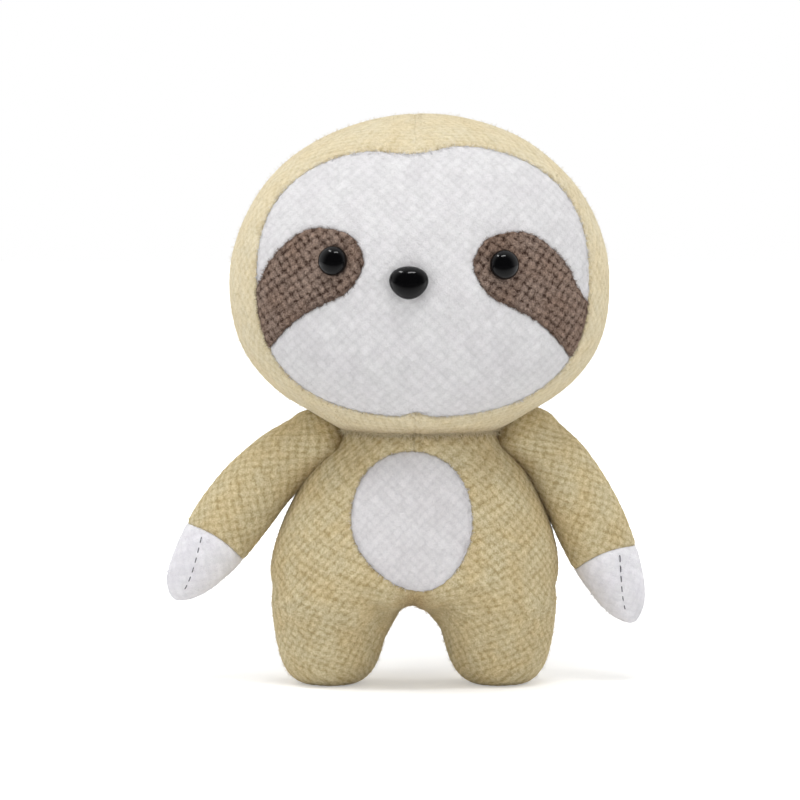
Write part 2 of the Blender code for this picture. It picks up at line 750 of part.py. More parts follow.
def build_arm(side, name, lean_deg, root, materials):
    """A sleeve and a paw over one stuffing, on its shoulder."""
    centre, turn = shoulder_frame(side, lean_deg)
    pivot = make_pivot(f"{name}_shoulder", centre, root, turn)
    size = Vector((ARM_REACH, ARM_REACH, ARM_REACH * 2))
    seam = -ARM_REACH * PAW_SHARE

    inside = arm_layer(side, COVER)
    inside = add_cutter(f"cut_{name}_arm_inside", inside, pivot, in_place=False)
    above = box(Vector((-size.x, -size.y, seam + GAP / 2)), size)
    above = add_cutter(f"cut_{name}_sleeve", above, pivot, in_place=False)
    below = box(-size, Vector((size.x, size.y, seam - GAP / 2)))
    below = add_cutter(f"cut_{name}_paw", below, pivot, in_place=False)
    near, far = sorted((-side * SHOULDER_RADIUS, -side * size.x))
    flank = box(Vector((near, -size.y, -size.z)), Vector((far, size.y, size.z)))
    flank = add_cutter(f"cut_{name}_flank", flank, pivot, in_place=False)

    parts = (("sleeve", above, "beige_knit"), ("paw", below, "white_pile"))
    for part, half, material in parts:
        cover = arm_layer(side, 0)
        cover = add_piece(f"{name}_{part}", cover, pivot, materials[material], in_place=False)
        cut(cover, inside)
        cut(cover, half, "INTERSECT")
        cut(cover, flank)
    stuffing = arm_layer(side, COVER + GAP)
    add_piece(f"{name}_arm_stuffing", stuffing, pivot, materials["stuffing"], in_place=False)

    stand_off = SHOULDER_RADIUS - THREAD_RADIUS
    clear = SHOULDER_RADIUS + GAP + THREAD_RADIUS
    radius = math.sqrt(clear**2 - stand_off**2)
    place = Matrix.Translation((-side * stand_off, 0, 0)) @ Matrix.Rotation(math.pi / 2, 4, "Y")
    thread = thread_ring(place, radius, SHOULDER_THREAD_STEPS)
    add_piece(f"{name}_shoulder_seam", thread, pivot, materials["thread"], in_place=False)


def build_neck_seam(pivot, materials):
    """The thread that closes the head to the body, round the body's top."""
    angle = math.radians(NECK_THREAD_DEG)
    reach = NECK_RADIUS + GAP + THREAD_RADIUS
    place = Matrix.Translation(NECK_PIVOT + Vector((0, 0, reach * math.cos(angle))))
    thread = thread_ring(place, reach * math.sin(angle), NECK_THREAD_STEPS)
    add_piece("neck_seam", thread, pivot, materials["thread"])


def centre_on_floor(root):
    """Moves the toy so that its bounding box stands centred on the origin."""
    bpy.context.view_layer.update()
    graph = bpy.context.evaluated_depsgraph_get()
    corners = []
    for found in bpy.context.scene.objects:
        if found.type == "MESH" and not found.hide_render:
            shape = found.evaluated_get(graph)
            corners += [found.matrix_world @ vert.co for vert in shape.data.vertices]
    low = Vector(map(min, zip(*corners)))
    high = Vector(map(max, zip(*corners)))
    root.location -= Vector(((low.x + high.x) / 2, (low.y + high.y) / 2, low.z))


def main():
    clear_scene()
    materials = make_materials()
    root = make_pivot("sloth", Vector((0, 0, 0)))
    neck = make_pivot("neck", NECK_PIVOT, root)
    build_body(root, materials)
    build_neck_seam(neck, materials)
    build_head(neck, materials)
    build_arm(LEFT, "left", LEFT_LEAN_DEG, root, materials)
    build_arm(RIGHT, "right", RIGHT_LEAN_DEG, root, materials)
    centre_on_floor(root)


main()
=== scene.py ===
# %% [markdown]
# A small knitted sloth. The toy is sewn from a chunky seed-stitch knit, pulled over stuffing,
# with plastic eyes and a plastic nose. This lesson dresses the plain solids of the part:
# every cover becomes a dense sheet whose stitches are real relief, seams sink between the
# panels, and the materials add the yarn's fibres. It starts by loading the part.

import json
import math

import bmesh
import bpy
import numpy as np
from mathutils import Matrix, Vector
from mathutils.bvhtree import BVHTree

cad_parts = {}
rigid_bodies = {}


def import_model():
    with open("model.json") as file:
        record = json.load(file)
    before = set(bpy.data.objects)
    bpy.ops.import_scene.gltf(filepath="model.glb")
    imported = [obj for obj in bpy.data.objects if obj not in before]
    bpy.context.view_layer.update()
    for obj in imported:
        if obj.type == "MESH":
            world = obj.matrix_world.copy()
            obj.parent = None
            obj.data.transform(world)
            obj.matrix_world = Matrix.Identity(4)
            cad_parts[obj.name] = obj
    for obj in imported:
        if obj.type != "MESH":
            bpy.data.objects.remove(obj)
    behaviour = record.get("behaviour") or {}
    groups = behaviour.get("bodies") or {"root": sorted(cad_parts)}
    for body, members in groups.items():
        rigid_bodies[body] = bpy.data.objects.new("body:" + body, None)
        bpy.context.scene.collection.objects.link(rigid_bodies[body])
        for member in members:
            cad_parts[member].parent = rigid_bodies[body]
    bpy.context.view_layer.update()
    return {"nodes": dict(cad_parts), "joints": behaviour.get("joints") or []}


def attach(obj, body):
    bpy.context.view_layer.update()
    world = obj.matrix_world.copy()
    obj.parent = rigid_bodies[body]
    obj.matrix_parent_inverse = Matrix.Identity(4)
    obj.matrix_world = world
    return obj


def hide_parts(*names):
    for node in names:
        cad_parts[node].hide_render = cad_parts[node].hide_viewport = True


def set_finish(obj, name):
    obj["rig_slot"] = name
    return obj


MM = 0.001
SIDES = (("left", 1), ("right", -1))
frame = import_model()
joints = {joint["name"]: joint for joint in frame["joints"]}
NECK = np.array(joints["head_turn"]["pos_m"])

# %% [markdown]
# Sizes. A cover lies on its solid, so the few sizes that give the forms are written here
# again, about the neck's turning point, which the part itself gives.

# %% Sizes of the forms
HEAD = NECK + np.array((0, -2.0, 56.6)) * MM
HALF_WIDE, HALF_DEEP, CROWN, CHIN = 56.7 * MM, 41.5 * MM, 50.5 * MM, 44.4 * MM
SEAM_X = HEAD[0] - 1.5 * MM  # the hood's centre seam
NECK_OFF, NECK_HIGH, BALL = 1.8, 64.0, 26.0  # the ball that the head turns on, in mm
NECK_BALL = BALL * MM
MIDDLE = NECK - np.array((NECK_OFF, 0, NECK_HIGH)) * MM  # under the body, on the floor
print("head centre (mm)", np.round(HEAD / MM, 1), "middle of the body", np.round(MIDDLE / MM, 1))

# %% [markdown]
# The fabric. Seed stitch shows as plump grains, each lying between four others, 3.5 mm apart
# along a row and 1.6 mm from row to row. One function gives the height of the yarn and a
# small tone of its own for every grain, at any place measured along the cloth.

# %% One function for the stitches
WALE, COURSE = 3.5 * MM, 3.2 * MM
GRAIN_WIDE, GRAIN_TALL = 1.37 * MM, 1.50 * MM
STRAY_ACROSS, STRAY_ALONG = 0.6 * MM, 0.5 * MM  # how widely grains stray from their places
LEAN = 0.3  # every second row leans the other way
SWELL = 17 * MM  # the size of the stuffing's lumps


def smooth_step(low, high, value):
    share = np.clip((value - low) / (high - low), 0, 1)
    return share * share * (3 - 2 * share)


def scatter(a, b, seed):
    """A steady number from 0 to 1 for each whole a and b."""
    wave = np.sin(a * 127.1 + b * 311.7 + seed * 74.7) * 43758.5453
    return wave - np.floor(wave)


def stitches(s, t):
    """Height from 0 in a gap to 1 on a grain, and the grain's own tone."""
    best = np.full(s.shape, -9.0)
    tone = np.zeros(s.shape)
    for shift in (0.0, 0.5):
        column, row = np.round(s / WALE + shift), np.round(t / COURSE + shift)
        chance = scatter(column, row, shift)
        other = scatter(column + 17, row - 5, shift)
        across = s - (column - shift) * WALE + (chance - 0.5) * STRAY_ACROSS
        along = t - (row - shift) * COURSE + (other - 0.5) * STRAY_ALONG
        across = across + along * LEAN * (1 if shift else -1)
        size = 0.82 + 0.34 * other
        height = 1 - (across / (GRAIN_WIDE * size)) ** 2 - (along / (GRAIN_TALL * size)) ** 2
        tone = np.where(height > best, chance, tone)
        best = np.maximum(best, height)
    return smooth_step(-0.5, 1.1, best), tone


def lumps(points):
    """Slow swells of the stuffing, from -1 to 1."""
    x, y, z = (points / SWELL).T
    first = np.sin(x * 1.3 + 2.1 * np.sin(z * 0.7 + 1.0)) * np.sin(z * 1.1 - y * 0.6 + 0.4)
    second = np.sin(x * 2.9 - z * 2.3 + 1.9) * np.sin(y * 2.6 + z * 1.7 + 0.8)
    return 0.7 * first + 0.3 * second


print("grains per square centimetre:", round(2 / (WALE * COURSE) * 1e-4, 1))

# %% [markdown]
# From a grid to a cover. Each cover starts as Blender's own grid. Its points are moved onto
# the form, doubles are merged where the grid meets itself, the stitches are raised along the
# surface's normals, and the edge is turned in and gathered behind, as a stuffed panel's is.

# %% Tools for meshes


def opened(mesh=None):
    """A bmesh to work in: empty, or holding a mesh."""
    bm = bmesh.new()
    if mesh is not None:
        bm.from_mesh(mesh)
    return bm


def closed(bm, mesh=None):
    """Writes a bmesh back to its mesh, or to a new one."""
    mesh = mesh or bpy.data.meshes.new("sheet")
    bm.to_mesh(mesh)
    bm.free()
    return mesh


def show(name, data):
    """Sets a mesh, a lamp or a camera in the scene."""
    made = bpy.data.objects.new(name, data)
    bpy.context.scene.collection.objects.link(made)
    return made


def dress(mesh, material):
    mesh.materials.clear()
    mesh.materials.append(material)


def vectors(items, kind):
    """The place or direction of every point or face of a mesh."""
    values = np.zeros(len(items) * 3)
    items.foreach_get(kind, values)
    return values.reshape(-1, 3)


def get_points(mesh):
    return vectors(mesh.vertices, "co")


def set_points(mesh, points):
    mesh.vertices.foreach_set("co", points.astype(np.float32).ravel())
    mesh.update()


def write(mesh, **values):
    for name, value in values.items():
        layer = mesh.attributes.get(name) or mesh.attributes.new(name, "FLOAT", "POINT")
        layer.data.foreach_set("value", np.asarray(value, np.float32))


def read(mesh, name):
    values = np.zeros(len(mesh.vertices))
    mesh.attributes[name].data.foreach_get("value", values)
    return values


def tree_of(mesh):
    """A search tree over a mesh's faces."""
    faces = [polygon.vertices for polygon in mesh.polygons]
    return BVHTree.FromPolygons([vert.co for vert in mesh.vertices], faces)


print("mesh tools ready")

# %% Tools for covers
TURN_IN = 1.6 * MM


def grid_sheet(columns, rows):
    """A flat grid and where each of its points is, from 0 to 1 both ways."""
    bm = opened()
    bmesh.ops.create_grid(bm, x_segments=columns, y_segments=rows, size=0.5)
    mesh = closed(bm)
    flat = get_points(mesh)
    return mesh, flat[:, 0] + 0.5, flat[:, 1] + 0.5


def weld(mesh, inside):
    """Merges doubles and turns the faces away from a point inside."""
    bm = opened(mesh)
    bmesh.ops.remove_doubles(bm, verts=bm.verts, dist=0.02 * MM)
    bmesh.ops.recalc_face_normals(bm, faces=bm.faces)
    bm.faces.ensure_lookup_table()
    probe = bm.faces[len(bm.faces) // 2]
    if probe.normal.dot(probe.calc_center_median() - Vector(inside)) < 0:
        bmesh.ops.reverse_faces(bm, faces=bm.faces)
    closed(bm, mesh)


def raise_stitches(mesh, amount):
    """Lifts the grains of the knit, and remembers them for the material."""
    s, t, keep, puff = (read(mesh, name) for name in ("s", "t", "keep", "puff"))
    points, normals = get_points(mesh), vectors(mesh.vertex_normals, "vector")
    rise, tone = stitches(s, t)
    if mesh.attributes.get("rubbed"):
        rubbed = read(mesh, "rubbed")
        rise, keep = rise + (0.6 - rise) * rubbed, keep * (1 - rubbed)
    lift = puff + amount * keep * (rise - 0.55) + 0.35 * MM * lumps(points) * keep
    set_points(mesh, points + normals * lift[:, None])
    write(mesh, rise=rise, tone=tone)


def close_behind(mesh, centre):
    """Turns the open edge in, and gathers it at a point inside. Its faces are made one by
    one, because Blender's extrude makes them in another order each run."""
    bm = opened(mesh)
    centre = Vector(centre)
    rim = [edge.verts[:] for edge in bm.edges if edge.is_boundary]
    inner = dict.fromkeys(vert for pair in rim for vert in pair)
    for vert in inner:
        inner[vert] = bm.verts.new(vert.co + (centre - vert.co).normalized() * TURN_IN, vert)
    hub = bm.verts.new(centre, rim[0][0])
    for a, b in rim:
        bm.faces.new((a, b, inner[b], inner[a]))
        bm.faces.new((inner[a], inner[b], hub))
    bm.normal_update()
    bmesh.ops.dissolve_degenerate(bm, dist=1e-7, edges=bm.edges)
    bmesh.ops.recalc_face_normals(bm, faces=bm.faces)
    closed(bm, mesh)


def half_of(mesh, seam, side, centre):
    """The part of a sheet to one side of a seam, with its edge closed behind."""
    bm = opened(mesh)
    bmesh.ops.bisect_plane(bm, geom=bm.verts[:] + bm.edges[:] + bm.faces[:], dist=1e-6,
                           plane_co=(seam, 0, 0), plane_no=(-side, 0, 0), clear_outer=True)
    half = closed(bm)
    close_behind(half, centre)
    return half


def piece(name, mesh, material, body, stands_for, slot):
    """Names a finished mesh and tells the frame what it is."""
    for layer in ("s", "t", "keep", "puff", "rubbed"):
        if mesh.attributes.get(layer):
            mesh.attributes.remove(mesh.attributes[layer])
    mesh.name = name
    made = show(name, mesh)
    dress(mesh, material)
    mesh.shade_smooth()
    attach(made, body)
    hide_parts(*stands_for)
    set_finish(made, slot)
    print(f"{name}: {len(mesh.polygons)} faces")
    return made


print("a cover's edge is turned in by (mm):", TURN_IN / MM)

# %% [markdown]
# Stray fibres. Brushed yarn has a halo of loose ends, which soften every seam and outline.
# One end is a three-sided cone, bent; copies of it are set at chance places on a cover, each
# leaning its own way. A real fibre is 0.02 mm thick; each cone stands for a wisp of several.

# %% Stray fibres
INSIDE_FACE = 4 * MM * MM  # only the faces that close a cover inside are larger than this


def fibre_shape():
    """One loose end, 1 unit long, standing on the floor."""
    bm = opened()
    bmesh.ops.create_cone(bm, cap_ends=True, segments=3, radius1=0.05, radius2=0.02, depth=1,
                          matrix=Matrix.Translation((0, 0, 0.5)))
    tall = [edge for edge in bm.edges if abs(edge.verts[0].co.z - edge.verts[1].co.z) > 0.5]
    bmesh.ops.subdivide_edges(bm, edges=tall, cuts=2)
    bm.verts.index_update()
    corners = np.array([vert.co[:] for vert in bm.verts])
    faces = [[vert.index for vert in face.verts] for face in bm.faces]
    bm.free()
    return corners, faces


def unit(rows):
    return rows / np.linalg.norm(rows, axis=1)[:, None]


def add_fibres(cover, count, length, body, seed, low=-1.0, along=None, part=""):
    """Loose ends of a finished cover's yarn: all over it, or lying near some places on it."""
    chance = np.random.default_rng(seed)
    mesh = cover.data
    centres, normals = vectors(mesh.polygons, "center"), vectors(mesh.polygons, "normal")
    if along is None:
        lie, thick = 1.2, 1.2 * MM
        areas = np.zeros(len(mesh.polygons))
        mesh.polygons.foreach_get("area", areas)
        shown = areas * ((areas < INSIDE_FACE) & (centres[:, 2] > low))
        picked = chance.choice(len(areas), count, p=shown / shown.sum())
    else:
        lie, thick = 3.0, 2.0 * MM
        tree = tree_of(mesh)
        near = along[chance.integers(len(along), size=count)]
        near = near + chance.normal(0, 0.5 * MM, (count, 3))
        picked = np.array([tree.find_nearest(place)[2] for place in near])
    ahead = unit(normals[picked] + lie * unit(chance.normal(size=(count, 3))))
    across = unit(np.cross(ahead, chance.normal(size=(count, 3))))
    size = (length * chance.uniform(0.5, 1.2, count))[:, None, None]
    corners, faces = fibre_shape()
    x, y, z = (corners[:, axis:axis + 1] for axis in range(3))
    root = centres[picked] - 0.2 * MM * normals[picked]
    points = (root[:, None] + across[:, None] * (x * thick + 0.45 * z**2 * size)
              + np.cross(ahead, across)[:, None] * y * thick + ahead[:, None] * z * size)
    starts = range(0, count * len(corners), len(corners))
    fuzz = bpy.data.meshes.new("fibres")
    fuzz.from_pydata(points.reshape(-1, 3), [],
                     [[corner + start for corner in face] for start in starts for face in faces])
    write(fuzz, rise=np.repeat(chance.uniform(0.35, 1.1, count), len(corners)),
          tone=np.repeat(chance.uniform(0, 1, count), len(corners)))
    return piece(f"{cover.name}{part}_fibres", fuzz, mesh.materials[0], body, (), cover["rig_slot"])


print("corners of one fibre:", len(fibre_shape()[0]))

# %% [markdown]
# Yarn and plastic. The covers are acrylic yarn, brushed a little. The stitches' height comes with
# the mesh, and colour follows relief: a painted highlight on each grain's crown and painted shade
# in the gap between grains. Each grain differs slightly, and fine fibres break up the surface.

# %% Node helpers and colours


def linear(code):
    """A written colour such as c8b690 as the linear values that a shader takes."""
    levels = [int(code[index:index + 2], 16) / 255 for index in (0, 2, 4)]
    return [v / 12.92 if v <= 0.04045 else ((v + 0.055) / 1.055) ** 2.4 for v in levels] + [1.0]


def set_inputs(tree, node, inputs):
    """Links the inputs that come from another node, and sets the others."""
    for key, value in inputs.items():
        if isinstance(value, bpy.types.NodeSocket):
            tree.links.new(value, node.inputs[key])
        else:
            node.inputs[key].default_value = value


def add_node(tree, kind, inputs=None, **settings):
    """Adds one node, sets it up and links or sets its inputs."""
    node = tree.nodes.new(kind)
    for key, value in settings.items():
        setattr(node, key, value)
    set_inputs(tree, node, inputs or {})
    return node


def calculate(tree, operation, *values):
    """What a Math node makes of sockets and numbers."""
    return add_node(tree, "ShaderNodeMath", dict(enumerate(values)), operation=operation).outputs[0]


def between(tree, value, low, high, start=0.0, end=1.0, curve="LINEAR"):
    """A value that goes from start to end, made to go from low to high."""
    limits = {"From Min": start, "From Max": end, "To Min": low, "To Max": high}
    return add_node(tree, "ShaderNodeMapRange", {"Value": value, **limits},
                    interpolation_type=curve).outputs["Result"]


def noise(tree, place, scale, **more):
    node = add_node(tree, "ShaderNodeTexNoise", {"Vector": place, "Scale": scale, **more})
    return node.outputs["Fac"]


def dark_to_light(tree, value, dark, light, end=1.0):
    """The colours from dark to light that a value runs through."""
    node = add_node(tree, "ShaderNodeValToRGB", {"Fac": value})
    first, last = node.color_ramp.elements
    first.color, last.color, last.position = linear(dark), linear(light), end
    return node.outputs["Color"]


def multiplied(tree, colour, code, share):
    """A colour times a written one, in full where share is 1."""
    return add_node(tree, "ShaderNodeMix", {"Factor": share, "A": colour, "B": linear(code)},
                    data_type="RGBA", blend_type="MULTIPLY").outputs["Result"]


def bumped(tree, height, strength, distance):
    return add_node(tree, "ShaderNodeBump", {"Height": height, "Strength": strength,
                                             "Distance": distance}).outputs["Normal"]


def new_material(name):
    """A material, its tree and shader, and the place on the piece."""
    material = bpy.data.materials.new(name)
    material.use_nodes = True
    tree = material.node_tree
    place = add_node(tree, "ShaderNodeTexCoord").outputs["Object"]
    return material, tree, tree.nodes["Principled BSDF"], place


print("beige as linear:", [round(v, 3) for v in linear("c8b690")])

# %% Knitted acrylic yarn


def knit_yarn(name, gap, crown, tint, fuzz=0.35, depth=1.0, crown_at=0.84):
    """Brushed acrylic yarn, dull all over: painted shade in the gaps, a painted highlight on the
    grains.
    """
    material, tree, shader, place = new_material(name)
    # The third attribute is the painted shade of the creases; rise and tone come with the stitches
    rise, tone, crease = (add_node(tree, "ShaderNodeAttribute", attribute_name=layer).outputs["Fac"]
                          for layer in ("rise", "tone", "crease"))
    # The plies of the yarn, a little under 1 mm, and fibres drawn coarser than the real 0.02 mm
    plies = noise(tree, place, 1150.0, Detail=2.0, Roughness=0.5, Distortion=0.6)
    fibres = noise(tree, place, 2100.0, Detail=3.0, Roughness=0.65)
    rough_yarn = calculate(tree, "MULTIPLY_ADD", fibres, 1.5, calculate(tree, "ADD", plies, -1.25))
    # The colour is painted from this height: painted shade in the gaps, a painted highlight on the
    # crowns
    height = calculate(tree, "MULTIPLY_ADD", rise, 0.62, rough_yarn)
    # Each grain is a little lighter or darker, and the brushing differs over 9 mm or so
    toned = add_node(tree, "ShaderNodeHueSaturation", {
        "Color": dark_to_light(tree, height, gap, crown, crown_at),
        "Value": between(tree, tone, 0.95, 1.05)})
    patches = between(tree, noise(tree, place, 110.0, Detail=2.0), 0.0, 1.0, 0.35, 0.65)
    brushed = multiplied(tree, toned.outputs["Color"], tint, patches)
    # Painted shade: deep in a crease, near the next cover, the colour is multiplied towards brown
    set_inputs(tree, shader, {
        "Base Color": multiplied(tree, brushed, "b49f84", crease),
        "Normal": bumped(tree, rough_yarn, 0.6 * depth, 0.35 * MM),
        "Roughness": 0.93, "Specular IOR Level": 0.18,
        "Sheen Weight": fuzz, "Sheen Roughness": 0.55, "Sheen Tint": linear(crown)})
    return material


beige_yarn = knit_yarn("acrylic_yarn_beige", "aa996f", "dcd0ae", "fef8ee")
# The hood is the same beige knit as the body, drawn paler: painted light, for the light from above
# and behind that falls on it
lit_beige_yarn = knit_yarn("acrylic_yarn_beige_painted_light", "cdbf98", "e6dcc3", "fdf9f2", fuzz=0.6)
white_yarn = knit_yarn("acrylic_yarn_white", "d3d2d3", "e4e3e4", "fcfbfc", fuzz=0.3)
# The belly patch is the same white knit as the face, drawn a little darker: painted shade
shaded_belly_yarn = knit_yarn("acrylic_yarn_white_painted_shade", "cfcdcf", "dfddde", "fcfbfb", fuzz=0.3)
brown_yarn = knit_yarn("acrylic_yarn_brown", "37251d", "b09b8d", "f4ece6", fuzz=0.3, crown_at=1.0)
white_pile = knit_yarn("brushed_polyester_white", "e8e7eb", "f4f3f6", "fdfcfe", fuzz=0.5, depth=1.3)
print("yarns:", [yarn.name for yarn in (beige_yarn, lit_beige_yarn, white_yarn, brown_yarn)])

# %% [markdown]
# The eyes and nose are moulded ABS, black right through and polished in the mould. What the
# eye sees is gloss with the lamps in it, so the roughness is low and only a faint ripple
# breaks it up. The washers are plain nylon, and the thread is spun polyester.

# %% Moulded plastic and thread


def moulded_plastic(name, dark, light, roughness, shine):
    material, tree, shader, place = new_material(name)
    flow = noise(tree, place, 260.0, Detail=3.0)
    set_inputs(tree, shader, {
        "Base Color": dark_to_light(tree, flow, dark, light),
        "Roughness": between(tree, flow, roughness, roughness * 1.6),
        "Normal": bumped(tree, flow, 0.05, 0.05 * MM), "Specular IOR Level": shine})
    return material


def spun_thread(name, dark, light):
    """Polyester sewing thread: a fine twist that shows as slanting bands."""
    material, tree, shader, place = new_material(name)
    bands = {"Vector": place, "Scale": 320.0, "Distortion": 1.5}
    twist = add_node(tree, "ShaderNodeTexWave", bands, bands_direction="DIAGONAL").outputs["Fac"]
    set_inputs(tree, shader, {
        "Base Color": dark_to_light(tree, twist, dark, light),
        "Normal": bumped(tree, twist, 0.5, 0.1 * MM), "Roughness": 0.7, "Sheen Weight": 0.2})
    return material


black_plastic = moulded_plastic("moulded_abs_black", "040405", "080809", 0.07, 0.21)
nylon = moulded_plastic("moulded_nylon_natural", "cfcfc8", "dedcd4", 0.42, 0.5)
beige_thread = spun_thread("spun_polyester_beige", "8e7b50", "c5b283")
dark_thread = spun_thread("spun_polyester_dark", "3a3840", "6a6870")
for node in ("left_eye_washer", "right_eye_washer", "nose_washer"):
    dress(frame["nodes"][node].data, nylon)
for node in ("neck_seam", "left_shoulder_seam", "right_shoulder_seam"):
    dress(frame["nodes"][node].data, beige_thread)
print("plastic and thread:", black_plastic.name, nylon.name, beige_thread.name, dark_thread.name)

# %% [markdown]
# The head's form. It is an egg on its side: round at the crown, fuller in the cheeks. A
# direction from its centre gives a point on it. Where the neck's ball comes up inside, the
# form is pushed away, which leaves the hollow that the head turns in.

# %% The head's surface
FULL_ACROSS, FULL_DEEP = 2.3, 2.9  # how full it is below its widest line; an ellipse is 2
STEPS = 360  # of the table that measures along the cloth


def ring_sizes(z):
    """Half the width and half the depth of the head at a height from its widest line."""
    along = np.clip(np.abs(z) / np.where(z > 0, CROWN, CHIN), 0, 1)
    across, front = np.where(z > 0, 2.0, FULL_ACROSS), np.where(z > 0, 2.0, FULL_DEEP)
    return (HALF_WIDE * (1 - along**across) ** (1 / across) + 1e-9,
            HALF_DEEP * (1 - along**front) ** (1 / front) + 1e-9)


def head_points(turn, tilt):
    """Where lines from the head's centre come out, found by halving: turn goes round the
    line to the face's middle, and tilt away from it."""
    x, y, z = np.sin(tilt) * np.cos(turn), -np.cos(tilt), np.sin(tilt) * np.sin(turn)
    low, high = np.zeros(x.shape), np.full(x.shape, 60 * MM)
    for _ in range(24):
        middle = (low + high) / 2
        wide, deep = ring_sizes(z * middle)
        inside = (x * middle / wide) ** 2 + (y * middle / deep) ** 2 < 1
        low, high = np.where(inside, middle, low), np.where(inside, high, middle)
    return HEAD + np.stack((x, y, z), axis=1) * low[:, None]


def clear_of_neck(points):
    """Moves points out of the neck's ball and the little air round it."""
    away = points - NECK
    length = np.linalg.norm(away, axis=1)
    scale = np.maximum(1, (NECK_BALL + 0.6 * MM) / np.maximum(length, 1e-9))
    return NECK + away * scale[:, None]


def face_front(x, z):
    """The front of the head at places across and up, about the head's centre."""
    wide, deep = ring_sizes(z)
    return HEAD + np.stack((x, -deep * np.sqrt(np.clip(1 - (x / wide) ** 2, 0, 1)), z), axis=1)


def lengths(line):
    """How far along a line each of its points is."""
    return np.concatenate(([0], np.cumsum(np.linalg.norm(np.diff(line, axis=0), axis=1))))


TILTS = np.linspace(0, math.pi, STEPS + 1)
arc_table = np.array([lengths(head_points(np.full(STEPS + 1, turn), TILTS))
                      for turn in np.linspace(0, 2 * math.pi, STEPS + 1)])
print("arc from the face's middle over the crown to the back (mm):",
      round(arc_table[STEPS // 4, -1] / MM, 1))

# %% [markdown]
# The face's edge is a wide rounded outline with a soft notch where the hood's centre seam
# comes down at the brow. The eye patches are teardrops that run out to the hood.

# %% Outlines of the face and the eye patches
FACE_AT, FACE_WIDE, FACE_TALL = (0.75 * MM, 1.8 * MM), 98.4 * MM, 80.4 * MM
BROW, BROW_WIDE, CHIN_STEP, CHIN_WIDE = 2.8 * MM, 9.0 * MM, 1.5 * MM, 3.0 * MM
PATCH = 36.0 * MM
PATCH_SHARES = np.array((
    (0.09, 0.265), (-0.135, 0.205), (-0.238, 0.03), (-0.205, -0.11), (-0.10, -0.252),
    (0.055, -0.335), (0.23, -0.428), (0.38, -0.552), (0.50, -0.69), (0.61, -0.83),
    (0.78, -0.78), (0.83, -0.56), (0.72, -0.36), (0.615, -0.195), (0.54, -0.036),
    (0.413, 0.114), (0.26, 0.23)))
EYE_AT = {"left": (24.2 * MM, 6.8 * MM), "right": (-25.4 * MM, 7.9 * MM)}
NOSE_AT = (-3.4 * MM, 1.8 * MM)


def bell(value, wide):
    return np.exp(-((value / wide) ** 2))


def oval(centre, width, height, fullness, count=720):
    """A closed outline: an ellipse at fullness 2, squarer above it."""
    angle = 2 * math.pi * np.arange(count) / count
    sides = ((np.cos(angle), width, centre[0]), (np.sin(angle), height, centre[1]))
    return np.stack([np.sign(wave) * np.abs(wave) ** (2 / fullness) * size / 2 + at
                     for wave, size, at in sides], axis=1)


def ragged(edge, amount):
    """The edge as cut through knit: it steps in and out with the stitches."""
    steps = np.roll(edge, -1, axis=0) - edge
    size = np.hypot(*steps.T)
    far = np.concatenate(([0], np.cumsum(size)))
    whole, far = far[-1], far[:-1]
    wave = (0.6 * np.sin(2 * math.pi * round(whole / (3.7 * MM)) * far / whole)
            + 0.4 * np.sin(2 * math.pi * round(whole / (2.3 * MM)) * far / whole + 1))
    outward = np.stack((steps[:, 1], -steps[:, 0]), axis=1) / size[:, None]
    return edge + outward * (amount * wave)[:, None]


def curve_through(knots, steps, ring=False):
    """More points between the given ones, on a smooth curve, open or closed to a ring."""
    knots, found = np.array(knots, float), []
    last = len(knots) - 1
    for index in range(len(knots) if ring else last):
        near = [index + shift for shift in (-1, 0, 1, 2)]
        a, b, c, d = (knots[i % len(knots) if ring else min(max(i, 0), last)] for i in near)
        for t in np.arange(steps) / steps:
            bend = (2 * a - 5 * b + 4 * c - d) * t**2 + (3 * b - a - 3 * c + d) * t**3
            found.append((2 * b + (c - a) * t + bend) / 2)
    return np.array(found if ring else found + [knots[-1]])


def edge_distance(x, z, edge):
    """How far inside a closed outline each place is; less than 0 outside."""
    near = np.full(x.shape, 1e9)
    inside = np.zeros(x.shape, bool)
    for (ax, az), (bx, bz) in zip(edge, np.roll(edge, -1, axis=0)):
        dx, dz = bx - ax, bz - az
        share = np.clip(((x - ax) * dx + (z - az) * dz) / (dx * dx + dz * dz + 1e-18), 0, 1)
        near = np.minimum(near, np.hypot(x - ax - share * dx, z - az - share * dz))
        if az != bz:
            inside ^= ((az > z) != (bz > z)) & (x < (bx - ax) * (z - az) / (bz - az) + ax)
    return np.where(inside, near, -near)


def reach_of(edge, centre, angles):
    """How far the outline is from a point inside it, at each angle."""
    away = edge - np.array(centre)
    found = np.arctan2(away[:, 1], away[:, 0])
    order = np.argsort(found)
    return np.interp(angles, found[order], np.hypot(*away[order].T), period=2 * math.pi)


face_edge = oval(FACE_AT, FACE_WIDE, FACE_TALL, 2.5)
off = face_edge[:, 0] + HEAD[0] - SEAM_X
up = (face_edge[:, 1] - FACE_AT[1]) / (FACE_TALL / 2)
# On the toy's right the brow is a little lower
brow = BROW * bell(off, BROW_WIDE) + 1.0 * MM * up * np.clip(-off / BROW_WIDE, 0, 1)
face_edge[:, 1] += np.where(up > 0, -brow, CHIN_STEP * bell(off, CHIN_WIDE))
face_edge = ragged(face_edge, 0.12 * MM)
patch_edge = {}
for name, side in SIDES:
    knots = PATCH_SHARES * PATCH * np.array((side, 1)) + np.array(EYE_AT[name])
    patch_edge[name] = ragged(curve_through(knots, 12, ring=True), 0.2 * MM)
print("patch outline points:", {name: len(edge) for name, edge in patch_edge.items()})

# %% [markdown]
# How the panels' edges behave. Near a seam the stitches fade and the cloth dips, so that two
# panels meet in a soft groove. Round each eye and the nose the washer behind pulls the face
# in a little.

# %% Dips at seams, eyes and nose


def seam_dip(distance, wide=1.8 * MM, deep=0.25 * MM):
    return -deep * np.clip(1 - distance / wide, 0, 1) ** 2


def seam_keep(distance, wide=0.7 * MM):
    return smooth_step(0.0, wide, distance)


